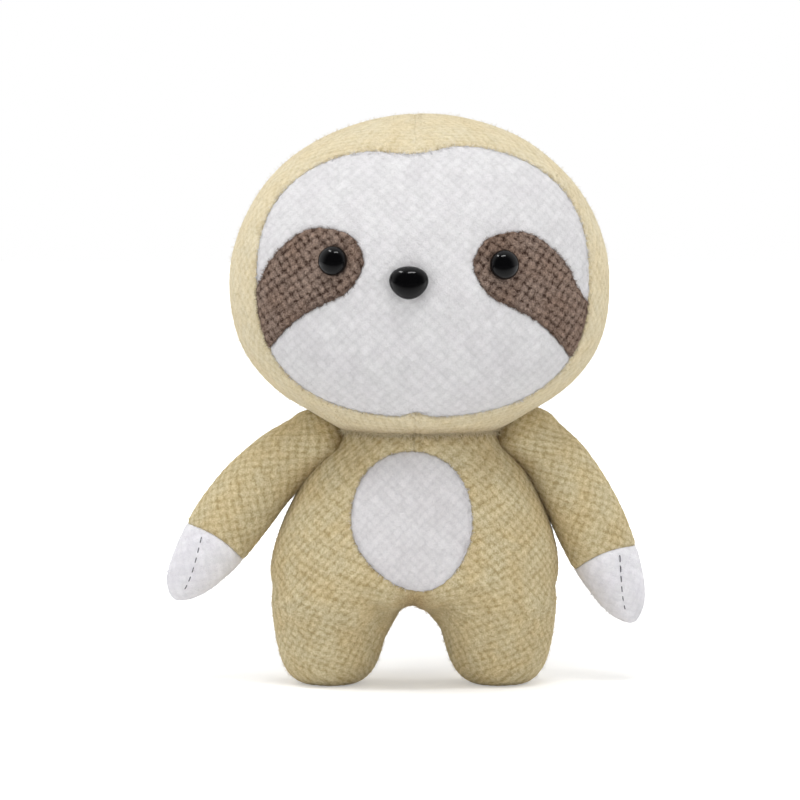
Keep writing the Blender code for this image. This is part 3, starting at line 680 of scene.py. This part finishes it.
def let_in(inside):
    """What a cover keeps of its stitches where a patch is let into it, and how far it sinks."""
    sunk = seam_dip(np.abs(inside), deep=0.35 * MM) * (inside < 0)
    return (1 - smooth_step(-0.9 * MM, 0.2 * MM, inside),
            sunk - 2.0 * MM * smooth_step(-0.3 * MM, 1.0 * MM, inside))


def pulled_in(x, z):
    """The dimples under the eyes and the nose."""
    buttons = ((EYE_AT["left"], 1.1 * MM), (EYE_AT["right"], 1.1 * MM), (NOSE_AT, 0.8 * MM))
    return -sum(deep * bell(np.hypot(x - at[0], z - at[1]), 6.5 * MM) for at, deep in buttons)


def face_cloth(points):
    """Where places on the head lie along the cloth, from the face's middle."""
    x, y, z = (points - HEAD).T
    turn = np.arctan2(z, x) % (2 * math.pi)
    row, column = turn / (2 * math.pi) * STEPS, np.arctan2(np.hypot(x, z), -y) / math.pi * STEPS
    r, c = (np.minimum(value.astype(int), STEPS - 1) for value in (row, column))
    fr, fc = row - r, column - c
    arc = ((arc_table[r, c] * (1 - fc) + arc_table[r, c + 1] * fc) * (1 - fr)
           + (arc_table[r + 1, c] * (1 - fc) + arc_table[r + 1, c + 1] * fc) * fr)
    return arc * np.cos(turn), arc * np.sin(turn)


def columns_of(u):
    """Each column of a grid that is wound into a fan: its angle, and its points."""
    for value in np.unique(np.round(u, 6)):
        yield value * 2 * math.pi, np.isclose(u, value, atol=1e-6)


print("dip at an eye (mm):", round(float(pulled_in(*EYE_AT["left"]) / MM), 2))

# %% [markdown]
# The face panel: rings of points from the nose outwards to the outline. It is one piece of
# white knit. Under the eye patches it sinks, because they are let into it.

# %% Face panel
AT_EDGE = 0.4 * MM  # fibres along an edge start this near to it
mesh, u, v = grid_sheet(600, 112)
turn = u * 2 * math.pi
edge_reach = reach_of(face_edge, (0, 0), turn)
fine = np.linspace(0, 1, 240)
share = np.zeros_like(v)
for angle, chosen in columns_of(u):
    reach = fine * edge_reach[chosen][0]
    arc = lengths(face_front(reach * math.cos(angle), reach * math.sin(angle)))
    share[chosen] = np.interp(v[chosen] * arc[-1], arc, fine)
set_points(mesh, face_front(share * edge_reach * np.cos(turn), share * edge_reach * np.sin(turn)))
weld(mesh, HEAD)
points = get_points(mesh)
x, _, z = (points - HEAD).T
rim = edge_distance(x, z, face_edge)
s, t = face_cloth(points)
keep, puff = seam_keep(rim), seam_dip(rim) + pulled_in(x, z)
for edge in patch_edge.values():
    kept, sunk = let_in(edge_distance(x, z, edge))
    keep, puff = keep * kept, puff + sunk
write(mesh, s=0.88 * s, t=0.88 * t, keep=keep, puff=puff)
raise_stitches(mesh, 0.10 * MM)
close_behind(mesh, HEAD)
face = piece("face_knit", mesh, white_yarn, "head", ("face_panel", "head_stuffing"),
             "white_knit")
add_fibres(face, 2500, 1.0 * MM, "head", 1)
add_fibres(face, 3500, 1.1 * MM, "head", 11, along=points[rim < AT_EDGE], part="_edge")

# %% [markdown]
# The eye patches: a fan of points from each patch's middle to its teardrop edge, or to the
# hood's seam where the teardrop runs past it. The yarn is the same knit in brown.

# %% Eye patches
PATCH_TILT = math.radians(9)
for name, side in SIDES:
    mesh, u, v = grid_sheet(340, 62)
    turn = u * 2 * math.pi
    middle = np.array(EYE_AT[name]) + np.array((0.24 * side, -0.17)) * PATCH
    reach = v * np.minimum(reach_of(patch_edge[name], middle, turn),
                           reach_of(face_edge * 0.998, middle, turn))
    set_points(mesh, face_front(middle[0] + reach * np.cos(turn), middle[1] + reach * np.sin(turn)))
    weld(mesh, HEAD)
    points = get_points(mesh)
    x, _, z = (points - HEAD).T
    rim = np.minimum(edge_distance(x, z, patch_edge[name]), edge_distance(x, z, face_edge))
    s, t = face_cloth(points)
    along, up = math.cos(PATCH_TILT), math.sin(PATCH_TILT) * side
    write(mesh, s=0.93 * (s * along + t * up) + 1.1 * MM, t=0.93 * (t * along - s * up),
          keep=0.25 + 0.75 * seam_keep(rim, 0.8 * MM),
          puff=0.25 * MM + seam_dip(rim, 1.5 * MM, 0.4 * MM) + pulled_in(x, z))
    raise_stitches(mesh, 0.30 * MM)
    close_behind(mesh, face_front(middle[:1], middle[1:])[0] + np.array((0, 12, 0)) * MM)
    patch = piece(f"{name}_eye_patch_knit", mesh, brown_yarn, "head", (f"{name}_eye_patch",),
                  "brown_knit")
    add_fibres(patch, 2200, 1.2 * MM, "head", 2)
    add_fibres(patch, 1800, 1.1 * MM, "head", 12, along=points[rim < AT_EDGE], part="_edge")

# %% [markdown]
# The hood: rings from the face's edge round to the back of the head. The cloth of each half
# lies square on its own side of the head, so the rows lean together at the centre seam, as
# they do on the real toy. One sheet is made and then cut in two along the seam.

# %% Hood
mesh, u, v = grid_sheet(600, 190)
turn = u * 2 * math.pi
edge_reach = reach_of(face_edge, (0, 0), turn)
tilt = np.zeros_like(v)
for angle, chosen in columns_of(u):
    line = head_points(np.full(STEPS + 1, angle), TILTS) - HEAD
    arc, wide = lengths(line), np.hypot(line[:, 0], line[:, 2])
    widest = int(np.argmax(wide)) + 1
    start = np.interp(edge_reach[chosen][0], wide[:widest], arc[:widest])
    tilt[chosen] = np.interp(start + v[chosen] * (arc[-1] - start), arc, TILTS)
points = head_points(turn, tilt)
# Round the neck's hollow the head hangs a little lower
beyond = np.linalg.norm(points - NECK, axis=1) - NECK_BALL
hang = 1 - smooth_step(-2 * MM, 15 * MM, beyond)
points[:, 2] -= 2.4 * MM * hang * (points[:, 2] < HEAD[2])
set_points(mesh, clear_of_neck(points))
weld(mesh, HEAD)
points = get_points(mesh)
away = points - HEAD
radius = np.linalg.norm(away, axis=1)
arc = np.arccos(np.clip(np.abs(away[:, 0]) / radius, 0, 1)) * (HALF_WIDE + radius) / 2
around = np.arctan2(away[:, 2], away[:, 1])
rim = np.where(away[:, 1] < 0, -edge_distance(away[:, 0], away[:, 2], face_edge), 1.0)
rim = np.clip(rim / np.clip(-away[:, 1] / HALF_DEEP, 0.35, 1), 0, 1)
off_seam = points[:, 0] - SEAM_X
seam = np.abs(off_seam)
into_neck = NECK_BALL + 1.6 * MM - np.linalg.norm(points - NECK, axis=1)
write(mesh, s=1.1 * arc * np.cos(around) * np.sign(off_seam), t=0.88 * arc * np.sin(around),
      keep=seam_keep(rim) * seam_keep(seam, 0.8 * MM) * (1 - smooth_step(0, 1.2 * MM, into_neck)),
      puff=seam_dip(rim) + seam_dip(seam, 1.4 * MM, 0.3 * MM)
      - 0.3 * MM * smooth_step(0, 1.0 * MM, into_neck))
chin_rim = (np.abs(into_neck - 0.6 * MM) < 1.2 * MM) & (points[:, 1] < NECK[1] + 10 * MM)
raise_stitches(mesh, 0.18 * MM)
set_points(mesh, clear_of_neck(get_points(mesh)))
for name, side in SIDES:
    half = half_of(mesh, SEAM_X, side, HEAD + np.array((side * 3, 8, 6)) * MM)
    hood = piece(f"hood_{name}_knit", half, lit_beige_yarn, "head", (f"hood_{name}",),
                 "beige_knit")
    own = side * off_seam > 0
    add_fibres(hood, 6000, 1.1 * MM, "head", 3)
    add_fibres(hood, 2200, 1.3 * MM, "head", 13, along=points[own & (rim < AT_EDGE)], part="_edge")
    add_fibres(hood, 2500, 2.2 * MM, "head", 14, along=points[own & chin_rim], part="_chin")

# %% [markdown]
# Eyes and nose. An eye is a polished dome on a stem that goes through the cloth. Its outline
# is drawn once and spun. The nose is spun round too, then widened, more at its top.

# %% Eyes and nose
STEM, STEM_END = 1.5 * MM, -6.4 * MM


def facing(x, z):
    """A frame on the front of the head: Z out of it, Y up."""
    step = 1.0 * MM
    here, right, left, up, down = (
        Vector(face_front(np.array([x + a]), np.array([z + b]))[0])
        for a, b in ((0, 0), (step, 0), (-step, 0), (0, step), (0, -step)))
    out = (right - left).cross(up - down).normalized()
    across = Vector((0, 0, 1)).cross(out).normalized()
    return Matrix.Translation(here) @ Matrix((across, out.cross(across), out)).transposed().to_4x4()


def button(name, place, radius, dome, foot, wide=1.0, taper=0.0):
    """A dome with a rounded foot, spun from its outline, on a stem."""
    outline = [(0, STEM_END), (STEM, STEM_END), (STEM, foot), (radius - 0.5 * MM, foot)]
    for index in range(24):
        angle = -0.5 + (math.pi / 2 + 0.5) * index / 24
        climb = (dome - foot) * (0.34 + 0.66 * math.sin(angle))
        outline.append((radius * math.cos(angle), foot + climb))
    outline.append((0, dome))
    bm = opened()
    verts = [bm.verts.new((r, 0, h)) for r, h in outline]
    edges = [bm.edges.new(pair) for pair in zip(verts, verts[1:])]
    bmesh.ops.spin(bm, geom=verts + edges, axis=(0, 0, 1), cent=(0, 0, 0), angle=2 * math.pi,
                   steps=72, use_merge=True)
    bmesh.ops.remove_doubles(bm, verts=bm.verts, dist=0.01 * MM)
    for vert in bm.verts:
        if vert.co.z > foot - 0.01 * MM and math.hypot(vert.co.x, vert.co.y) > STEM + 0.1 * MM:
            vert.co.x *= wide * (1 + taper * vert.co.y / radius)
    bmesh.ops.recalc_face_normals(bm, faces=bm.faces)
    bmesh.ops.transform(bm, matrix=place, verts=bm.verts)
    return piece(f"{name}_dome", closed(bm), black_plastic, "head", (name,), "black_plastic")


for name, place in EYE_AT.items():
    button(f"{name}_eye", facing(*place), 4.4 * MM, 4.2 * MM, -0.9 * MM)
button("nose", facing(*NOSE_AT), 4.85 * MM, 4.9 * MM, -0.7 * MM, wide=1.175, taper=0.14)

# %% [markdown]
# The body and legs. On the toy they are one continuous knit: a pear with two stub legs. The
# forms are lofted from rings, merged by a voxel remesh, and the creases where they meet are
# relaxed, which is what stuffing does to cloth.

# %% Lofted forms, merged
HIP, HIP_WIDE, HIP_DEEP, DOME_START = 33.0, 43.5, 30.5, math.radians(70)
# How far up from the hip to the neck's ball a ring is, and how wide
FLANK = ((0.15, 0.975), (0.30, 0.89), (0.45, 0.775), (0.60, 0.63), (0.74, 0.48), (0.87, 0.28))
LEG_OFF, LEG_LEAN, LEG_HIGH, LEG_WIDE, LEG_DEEP = 25.4, 17.5, 35.0, 17.5, 22.0
# How high, how wide and how deep each ring of a leg is, and how far it leans in
LEG_SHARES = ((0.0, 0.44, 0.42, 0.0), (0.03, 0.58, 0.56, 0.0), (0.10, 0.72, 0.69, 0.0),
              (0.20, 0.83, 0.80, 0.0), (0.36, 0.925, 0.90, 0.005), (0.52, 1.0, 1.0, 0.025),
              (0.66, 1.10, 1.09, 0.10), (0.78, 1.15, 1.16, 0.15), (0.90, 1.0, 1.03, 0.15),
              (0.97, 0.68, 0.70, 0.15))


def join_rings(bm, places, sides, radius=1.0):
    """Circles at the given places, joined into one closed form."""
    below, ends = None, []
    for place in places:
        ring = bmesh.ops.create_circle(bm, segments=sides, radius=radius, matrix=place)["verts"]
        edges = list(dict.fromkeys(edge for vert in ring for edge in vert.link_edges))
        if below:
            bmesh.ops.bridge_loops(bm, edges=below + edges)
        below = edges
        ends.append(ring)
    bm.faces.new(ends[0])
    bm.faces.new(ends[-1])


def evaluated(made):
    """The mesh that an object's modifiers make."""
    bpy.context.view_layer.update()
    graph = bpy.context.evaluated_depsgraph_get()
    return bpy.data.meshes.new_from_object(made.evaluated_get(graph))


dome_round, dome_from = BALL * math.sin(DOME_START), NECK_HIGH + BALL * math.cos(DOME_START)
body_rows = []
for step in range(9, -1, -1):
    angle = step / 9.6 * math.pi / 2
    across, down = math.cos(angle) ** 0.8, math.sin(angle) ** 0.8
    body_rows.append((0, HIP - 8.8 * down, HIP_WIDE * across, HIP_DEEP * across))
for climb, girth in FLANK:
    body_rows.append((NECK_OFF * climb, HIP + (dome_from - HIP) * climb,
                      dome_round + (HIP_WIDE - dome_round) * girth,
                      dome_round + (HIP_DEEP - dome_round) * girth))
for step in range(10):
    angle = DOME_START * (1 - step / 10.5)
    ball = BALL * math.sin(angle)
    body_rows.append((NECK_OFF, NECK_HIGH + BALL * math.cos(angle), ball, ball))
body_rows = curve_through(body_rows, 3) * MM
leg_rows = {}
for name, side in SIDES:
    rows = [(side * (LEG_OFF - LEG_LEAN * lean), LEG_HIGH * climb, LEG_WIDE * wide,
             LEG_DEEP * deep) for climb, wide, deep, lean in LEG_SHARES]
    leg_rows[name] = curve_through(rows, 3) * MM

bm = opened()
for rows in (body_rows, leg_rows["left"], leg_rows["right"]):
    join_rings(bm, [Matrix.Translation(Vector(MIDDLE) + Vector((x, 0, z)))
                    @ Matrix.Diagonal((wide, deep, 1, 1)) for x, z, wide, deep in rows], 96)
bmesh.ops.triangulate(bm, faces=[face for face in bm.faces if len(face.verts) > 4])
bmesh.ops.recalc_face_normals(bm, faces=bm.faces)
rough = show("rough_body", closed(bm))
modifier = rough.modifiers.new("merge", "REMESH")
modifier.mode, modifier.voxel_size, modifier.adaptivity = "VOXEL", 1.15 * MM, 0.0
merged = evaluated(rough)
print("merged body:", len(merged.vertices), "points")

# %% Relaxing the creases


def relax(bm, verts):
    bmesh.ops.smooth_vert(bm, verts=verts, factor=0.5,
                          use_axis_x=True, use_axis_y=True, use_axis_z=True)


bm = opened(merged)
for step in range(22):
    # All round at first, then only in front and behind; the zone shrinks, so that its end is soft
    low, high = (13 + 0.3 * step) * MM, (45 - 0.5 * step) * MM
    hips = [v for v in bm.verts if low < v.co.z - MIDDLE[2] < high]
    if step > 5:
        hips = [v for v in hips
                if abs(v.co.y - MIDDLE[1]) > (10 if abs(v.co.x - MIDDLE[0]) > 12 * MM else 17) * MM]
    relax(bm, hips)
# Between the legs the cloth comes to a soft point, a little to the toy's right
for v in [v for v in bm.verts if 15 * MM < v.co.z - MIDDLE[2] < 36 * MM]:
    off = abs(v.co.x - MIDDLE[0] + 0.9 * MM)
    drop = smooth_step(0, 5.5 * MM, off) * (1 - smooth_step(6 * MM, 10 * MM, off))
    v.co.z -= 1.9 * MM * drop * (1 - smooth_step(27 * MM, 36 * MM, v.co.z - MIDDLE[2]))
above_sole = [v for v in bm.verts if v.co.z - MIDDLE[2] > 0.7 * MM]
for _ in range(2):
    relax(bm, above_sole)
closed(bm, merged)
rough.modifiers.clear()
rough.data = merged
modifier = rough.modifiers.new("finer", "SUBSURF")
modifier.levels = modifier.render_levels = 1
body_mesh = evaluated(rough)
body_tree = tree_of(merged)
bpy.data.objects.remove(rough, do_unlink=True)
print("body cloth:", len(body_mesh.vertices), "points")

# %% [markdown]
# The body's stitches. The cloth is measured round the body from its side, and up along it,
# and the same on each leg, and the two blend at the hip; between the legs the knit is rubbed
# smooth. The belly's egg is cut out: there the cloth sinks, and white knit is let in.

# %% Body cover
BELLY, BELLY_WIDE, BELLY_TALL = (MIDDLE[0] - 0.75 * MM, 51.2 * MM), 35.8 * MM, 41.0 * MM
SIDE_LINE = math.radians(50)  # where the rows of grains start, round the body and round a leg
belly_edge = oval(BELLY, BELLY_WIDE, BELLY_TALL, 2.1, 360)
# The egg is narrower below, and its tip is a little to the toy's left
drop = np.clip(BELLY[1] - belly_edge[:, 1], 0, None) / (BELLY_TALL / 2)
narrow = (belly_edge[:, 0] - BELLY[0]) * (1 - 0.2 * drop**2)
belly_edge[:, 0] = BELLY[0] + narrow + 2.6 * MM * drop**2
belly_edge = ragged(belly_edge, 0.14 * MM)
points = get_points(body_mesh)
x, y, z = (points - MIDDLE).T
shift, wide, deep = (np.interp(z, body_rows[:, 1], body_rows[:, k]) for k in (0, 2, 3))
around = np.arctan2(-y / deep, np.abs(x - shift) / wide)
s_body = (around - SIDE_LINE) * (wide + deep) / 2
rows = leg_rows["left"]
leg_x, leg_wide, leg_deep = (np.interp(z, rows[:, 1], rows[:, k]) for k in (0, 2, 3))
leg_around = np.arctan2(-y / leg_deep, (np.abs(x) - leg_x) / leg_wide)
s_leg = leg_around * (leg_wide + leg_deep) / 2 - SIDE_LINE * 37 * MM
on_leg = 1 - smooth_step(17 * MM, 31 * MM, z)
s = (s_body * (1 - on_leg) + s_leg * on_leg) * np.where(x >= 0, 1.0, -1.0)
front = y < 0
# Under the sole the rows are rings; above it they slant down from the centre seam to the sides
t = (z + 0.35 * np.hypot(np.abs(x) - leg_x, y) * (1 - smooth_step(0, 6 * MM, z))
     + 0.32 * np.abs(x) * np.where(front, 1, 0.5))
seam = np.abs(points[:, 0] - MIDDLE[0])
kept, sunk = let_in(edge_distance(points[:, 0], points[:, 2], belly_edge))
in_head = smooth_step(77 * MM, 80 * MM, z)
write(body_mesh, s=0.92 * s, t=1.14 * t, rubbed=bell(x, 11 * MM) * bell(z - 23 * MM, 8 * MM),
      keep=seam_keep(seam, 0.8 * MM) * np.where(front, kept, 1) * (1 - in_head),
      puff=seam_dip(seam, 1.5 * MM, 0.3 * MM) + np.where(front, sunk, 0) - 0.35 * MM * in_head)
raise_stitches(body_mesh, 0.25 * MM)
points = get_points(body_mesh)
points[:, 2] = np.maximum(points[:, 2], MIDDLE[2])
set_points(body_mesh, points)
for name, side in SIDES:
    half = half_of(body_mesh, MIDDLE[0], side, MIDDLE + np.array((side * 4, 0, 45)) * MM)
    nodes = [f"body_{name}", f"{name}_leg_cover", f"{name}_leg_stuffing"]
    nodes += ["body_stuffing"] if side > 0 else []
    cover = piece(f"body_{name}_knit", half, beige_yarn, "torso", nodes, "beige_knit")
    add_fibres(cover, 7000, 1.2 * MM, "torso", 4, low=2 * MM)

# %% Belly patch
mesh, u, v = grid_sheet(290, 48)
turn = u * 2 * math.pi
reach = reach_of(belly_edge, BELLY, turn) * v
flat = zip(BELLY[0] + reach * np.cos(turn), BELLY[1] + reach * np.sin(turn))
hits = [body_tree.ray_cast(Vector((a, -0.2, b)), Vector((0, 1, 0)))[0] for a, b in flat]
set_points(mesh, np.array([tuple(hit) for hit in hits]))
weld(mesh, MIDDLE + np.array((0, 0, 50)) * MM)
points = get_points(mesh)
rim = edge_distance(points[:, 0], points[:, 2], belly_edge)
write(mesh, s=(points[:, 0] - BELLY[0]) * 1.06 + 0.7 * MM, t=points[:, 2], keep=seam_keep(rim),
      puff=0.25 * MM + seam_dip(rim, 1.8 * MM, 0.4 * MM))
raise_stitches(mesh, 0.08 * MM)
close_behind(mesh, MIDDLE + np.array((0, -12, 50)) * MM)
belly_cover = piece("belly_knit", mesh, shaded_belly_yarn, "torso", ("belly_patch",), "white_knit")
add_fibres(belly_cover, 900, 1.0 * MM, "torso", 5)
add_fibres(belly_cover, 1600, 1.1 * MM, "torso", 15, along=points[rim < AT_EDGE], part="_edge")

# %% [markdown]
# The arms. Each is a long tapering tube: a beige sleeve that ends in a white brushed paw. The
# grid is rolled round the arm's line, and the seam of the roll is at its back. A row of dark
# running stitches goes down the front of each paw.

# %% Arms
ROOT_IN, ROOT_ROUND, PAW_FROM, TIP = 4.4, 10.9, 38.6, 61.6
# How far down, how far off the line and how round, and what the right arm has more
ARM_ROWS = ((5, -0.6, 10.2, 0.3), (11, 1.2, 10.1, 0.6), (19, 2.6, 10.3, 1.0),
            (27, 3.2, 10.6, 1.1), (34, 3.55, 10.5, 1.1), (41, 3.8, 10.0, 0.8),
            (47, 4.0, 8.95, 0.7), (53, 4.15, 7.25, 0.8), (57.5, 4.3, 5.1, 1.0),
            (60.3, 4.35, 2.7, 1.1))
CUFF_DROP = 2.2 * MM  # the paw's edge is cut as an arch, lower at the sides
# Rows of the grid, yarn, slot, relief, where it is gathered, fibres
ARM_PARTS = {"sleeve": (100, beige_yarn, "beige_knit", 0.25 * MM, -28 * MM, 2200),
             "paw": (56, white_pile, "white_pile", 0.06 * MM, -46 * MM, 1500)}


def arm_profile(side):
    """Rows of (off the line, height, radius), from the root to the tip, their arc lengths,
    and the length at which the paw begins."""
    right = 1 if side < 0 else 0
    rows = [(-ROOT_IN * side, ROOT_ROUND * math.sin(a), ROOT_ROUND * math.cos(a))
            for a in np.radians((90, 80, 66, 50, 32, 12))]
    rows += [(side * (off + more * 0.75 * right), -down, wide + more * 0.25 * right)
             for down, off, wide, more in ARM_ROWS]
    rows += [(rows[-1][0], -TIP, 0.9), (rows[-1][0], -TIP - 0.1, 0)]
    rows = curve_through(rows, 8) * MM
    arc = lengths(rows[:, 1:])
    return rows, arc, float(np.interp(PAW_FROM * MM, -rows[:, 1], arc))


def arm_frame(name):
    """The frame at the shoulder: X to the toy's left, Z up the arm."""
    swing = joints[f"{name}_arm_swing"]
    across, forward = -Vector(swing["axis"]), Vector((0, 1, 0))
    turn = Matrix((across, forward, across.cross(forward))).transposed().to_4x4()
    return Matrix.Translation(swing["pos_m"]) @ turn


def on_arm(name, rows, arc, length, angle, proud=0.0):
    """Places at a length down the arm and an angle round it, and the arm's radius there."""
    off, height, radius = (np.interp(length, arc, rows[:, k]) for k in range(3))
    out = radius + proud
    flat = np.stack((off + out * np.sin(angle), -out * np.cos(angle), height), axis=1)
    at = arm_frame(name)
    return flat @ np.array(at.to_3x3()).T + np.array(at.translation), radius


for name, side in SIDES:
    rows, arc, paw_arc = arm_profile(side)
    frame_at = arm_frame(name)
    for part, (count, yarn, slot, relief, gather, fibres) in ARM_PARTS.items():
        mesh, u, v = grid_sheet(140, count)
        angle = (u - 0.5) * 2 * math.pi
        cuff = paw_arc - 0.4 * MM + CUFF_DROP * np.sin(np.minimum(np.abs(angle), math.pi / 2)) ** 2
        length = v * cuff if part == "sleeve" else cuff + v * (arc[-1] - cuff)
        points, radius = on_arm(name, rows, arc, length, angle)
        set_points(mesh, points)
        end, back = np.abs(length - cuff), radius * (math.pi - np.abs(angle))
        write(mesh, s=radius * angle, t=length, keep=seam_keep(np.minimum(end, back)),
              puff=seam_dip(end, 1.6 * MM, 0.4 * MM) + seam_dip(back, 1.4 * MM, 0.4 * MM))
        weld(mesh, frame_at @ Vector((0, 0, -30 * MM)))
        raise_stitches(mesh, relief)
        close_behind(mesh, frame_at @ Vector((side * 3 * MM, 0, gather)))
        nodes = (f"{name}_{part}",) + ((f"{name}_arm_stuffing",) if part == "sleeve" else ())
        cover = piece(f"{name}_{part}_knit", mesh, yarn, f"{name}_arm", nodes, slot)
        add_fibres(cover, fibres, 1.2 * MM, f"{name}_arm", 6)

# %% Running stitches on the paws
STITCHES, POINTS = 6, 9
for name, side in SIDES:
    rows, arc, paw_arc = arm_profile(side)
    start, end = paw_arc + 1.5 * MM, arc[-1] - 7.0 * MM
    pitch = (end - start) / STITCHES
    share = np.arange(POINTS) / (POINTS - 1)
    bm = opened()
    for index in range(STITCHES):
        # Each stitch is 0.72 of its pitch long, and its ends dive into the cloth
        length = start + (index + 0.5) * pitch + (share - 0.5) * 0.72 * pitch
        angle = side * (0.46 - 0.62 * (length - start) / (end - start))
        proud = 0.12 * MM - 0.45 * MM * np.abs(share * 2 - 1) ** 3
        line = [Vector(point) for point in on_arm(name, rows, arc, length, angle, proud)[0]]
        places = []
        for step, point in enumerate(line):
            ahead = line[min(step + 1, POINTS - 1)] - line[max(step - 1, 0)]
            turn = ahead.normalized().to_track_quat("Z", "Y").to_matrix().to_4x4()
            places.append(Matrix.Translation(point) @ turn)
        join_rings(bm, places, 8, 0.17 * MM)
    bmesh.ops.recalc_face_normals(bm, faces=bm.faces)
    piece(f"{name}_paw_stitches", closed(bm), dark_thread, f"{name}_arm", (), "thread")

# %% [markdown]
# The creases. Where an arm lies on the flank, under the chin and between the legs the pile of
# two covers meets, and hardly any light gets in. Each beige cover is given how near it is to
# the next one, and the yarn's material paints a browner shade into its colour with it. This
# painted shade stays when an arm moves, so beside the arms it is faint.

# %% Painted shade in the creases


def nearness(name, others, reach):
    """1 where a cover touches one of the others, 0 from a distance on."""
    points = get_points(bpy.data.objects[name].data)
    close = np.zeros(len(points))
    for other in others:
        mesh = bpy.data.objects[other].data
        tree, there = tree_of(mesh), get_points(mesh)
        low, high = there.min(axis=0) - reach, there.max(axis=0) + reach
        for index in np.flatnonzero(np.all((points > low) & (points < high), axis=1)):
            distance = tree.find_nearest(points[index], reach)[3]
            if distance is not None:
                close[index] = max(close[index], 1 - distance / reach)
    return close


# Writes a cover's painted crease shade, which its yarn's material multiplies into the colour
def set_crease(name, crease):
    write(bpy.data.objects[name].data, crease=crease)


HOODS, HALVES = (tuple(f"{kind}_{name}_knit" for name, side in SIDES) for kind in ("hood", "body"))
# Painted shade: on each sleeve beside the flank, on each hood near the body, and on each body half
# beside its sleeve, under the chin and most between the legs
for (name, side), hood, half in zip(SIDES, HOODS, HALVES):
    sleeve = f"{name}_sleeve_knit"
    set_crease(sleeve, 0.3 * smooth_step(0, 1, nearness(sleeve, (half,), 4.5 * MM)))
    set_crease(hood, 0.9 * nearness(hood, HALVES, 6.0 * MM))
    x, _, z = (get_points(bpy.data.objects[half].data) - MIDDLE).T
    between_legs = bell(x, 6 * MM) * bell(z - 25 * MM, 5 * MM)
    flank = 0.2 * smooth_step(0, 1, nearness(half, (sleeve,), 4.5 * MM))
    chin = 0.35 * nearness(half, HOODS, 4.0 * MM)
    set_crease(half, np.clip(flank + chin + 0.9 * between_legs, 0, 1))
    print(name, "flank in the crease:", int((flank > 0.1).sum()), "points")

# %% [markdown]
# The room. A white floor and backdrop, a soft lamp above and in front, two narrow lamps that
# the plastic mirrors, and a fill and a wash from behind on each side, at a level at which
# colours come out about as they are written.

# %% Floor and backdrop


def seen_white(tree):
    """Light paths, and where a ray is the camera's or has come through something."""
    rays = add_node(tree, "ShaderNodeLightPath").outputs
    return rays, calculate(tree, "MAXIMUM", rays["Is Camera Ray"], rays["Is Transmission Ray"])


def mixed(tree, share, first, second):
    """A number that is the first where share is 0 and the second where it is 1."""
    return add_node(tree, "ShaderNodeMix", {"Factor": share, "A": first, "B": second},
                    data_type="FLOAT").outputs["Result"]


bm = opened()
bmesh.ops.create_grid(bm, x_segments=1, y_segments=1, size=3.0)
floor = show("floor", closed(bm))

studio, tree, shader, place = new_material("studio_floor_paper")
rays, white = seen_white(tree)
far_off = add_node(tree, "ShaderNodeVectorMath", {0: place}, operation="LENGTH").outputs["Value"]
wash = between(tree, far_off, 0.30, 1.0, 0.12, 0.5, "SMOOTHSTEP")
# In what shines, the white sheet ends half a metre in front of the toy, where the dark room is
forward = add_node(tree, "ShaderNodeSeparateXYZ", {0: place}).outputs["Y"]
kept = mixed(tree, rays["Is Glossy Ray"], 1.0,
             between(tree, forward, 0.04, 1.0, -0.40, 0.0, "SMOOTHSTEP"))
glow = calculate(tree, "MULTIPLY", calculate(tree, "MAXIMUM", white, rays["Is Glossy Ray"]),
                 calculate(tree, "MULTIPLY", wash, kept))
fibre = add_node(tree, "ShaderNodeTexNoise", {"Scale": 40.0}).outputs["Fac"]
set_inputs(tree, shader, {
    "Base Color": calculate(tree, "MULTIPLY", between(tree, fibre, 0.88, 0.9), kept),
    "Roughness": 0.9, "Emission Color": (1, 1, 1, 1), "Emission Strength": glow})
dress(floor.data, studio)

world = bpy.data.worlds.new("studio")
bpy.context.scene.world = world
world.use_nodes = True
tree = world.node_tree
rays, white = seen_white(tree)
# What shines shows the white backdrop behind and beside it, and the dark room in front
place = add_node(tree, "ShaderNodeTexCoord").outputs["Generated"]
along = add_node(tree, "ShaderNodeSeparateXYZ", {0: place}).outputs["Y"]
strength = mixed(tree, rays["Is Glossy Ray"], between(tree, white, 0.5, 1.0),
                 between(tree, along, 0.06, 1.0, -0.6, 0.1, "SMOOTHSTEP"))
set_inputs(tree, tree.nodes["Background"], {"Strength": strength, "Color": (1, 1, 1, 1)})
print("floor and backdrop:", studio.name, world.name)

# %% Lamps and camera
FAR, RAISED, VIEW_WIDE, SENSOR = 1.5, math.radians(4), 0.24, 36


def softbox(name, place, target, size, watts, mirrored=False):
    """A rectangular lamp that looks at a target; only some are seen in what shines."""
    lamp = bpy.data.lights.new(name, "AREA")
    lamp.shape, lamp.size, lamp.size_y, lamp.energy = "RECTANGLE", size[0], size[1], watts
    made = show(name, lamp)
    made.location = place
    made.rotation_euler = (Vector(target) - Vector(place)).to_track_quat("-Z", "Y").to_euler()
    made.visible_glossy = mirrored


softbox("top_softbox", (0.05, -0.35, 0.95), (0, 0, 0.1), (0.55, 0.35), 1.0)
softbox("right_strip", (-0.35, -0.14, 0.84), (0, 0, 0.1), (0.24, 0.10), 1.3, mirrored=True)
softbox("left_strip", (0.10, -0.36, 0.86), (0, 0, 0.1), (0.34, 0.10), 1.8, mirrored=True)
for name, side in SIDES:
    softbox(f"{name}_fill", (0.8 * side, -0.7, 0.24), (0, 0, 0.07), (0.5, 0.6), 2.0)
    softbox(f"{name}_back_wash", (0.75 * side, 0.55, 0.45), (0, 0, 0.11), (0.4, 0.6), 2.2)

aim = Vector(MIDDLE) + Vector((-4.2, 0, 85.2)) * MM
camera = show("camera", bpy.data.cameras.new("camera"))
camera.location = aim + Vector((0, -math.cos(RAISED), math.sin(RAISED))) * FAR
camera.rotation_euler = (aim - camera.location).to_track_quat("-Z", "Y").to_euler()
camera.data.lens = SENSOR * FAR / VIEW_WIDE
bpy.context.scene.camera = camera
bpy.context.scene.view_settings.view_transform = "Standard"
print("camera lens", round(camera.data.lens, 1))
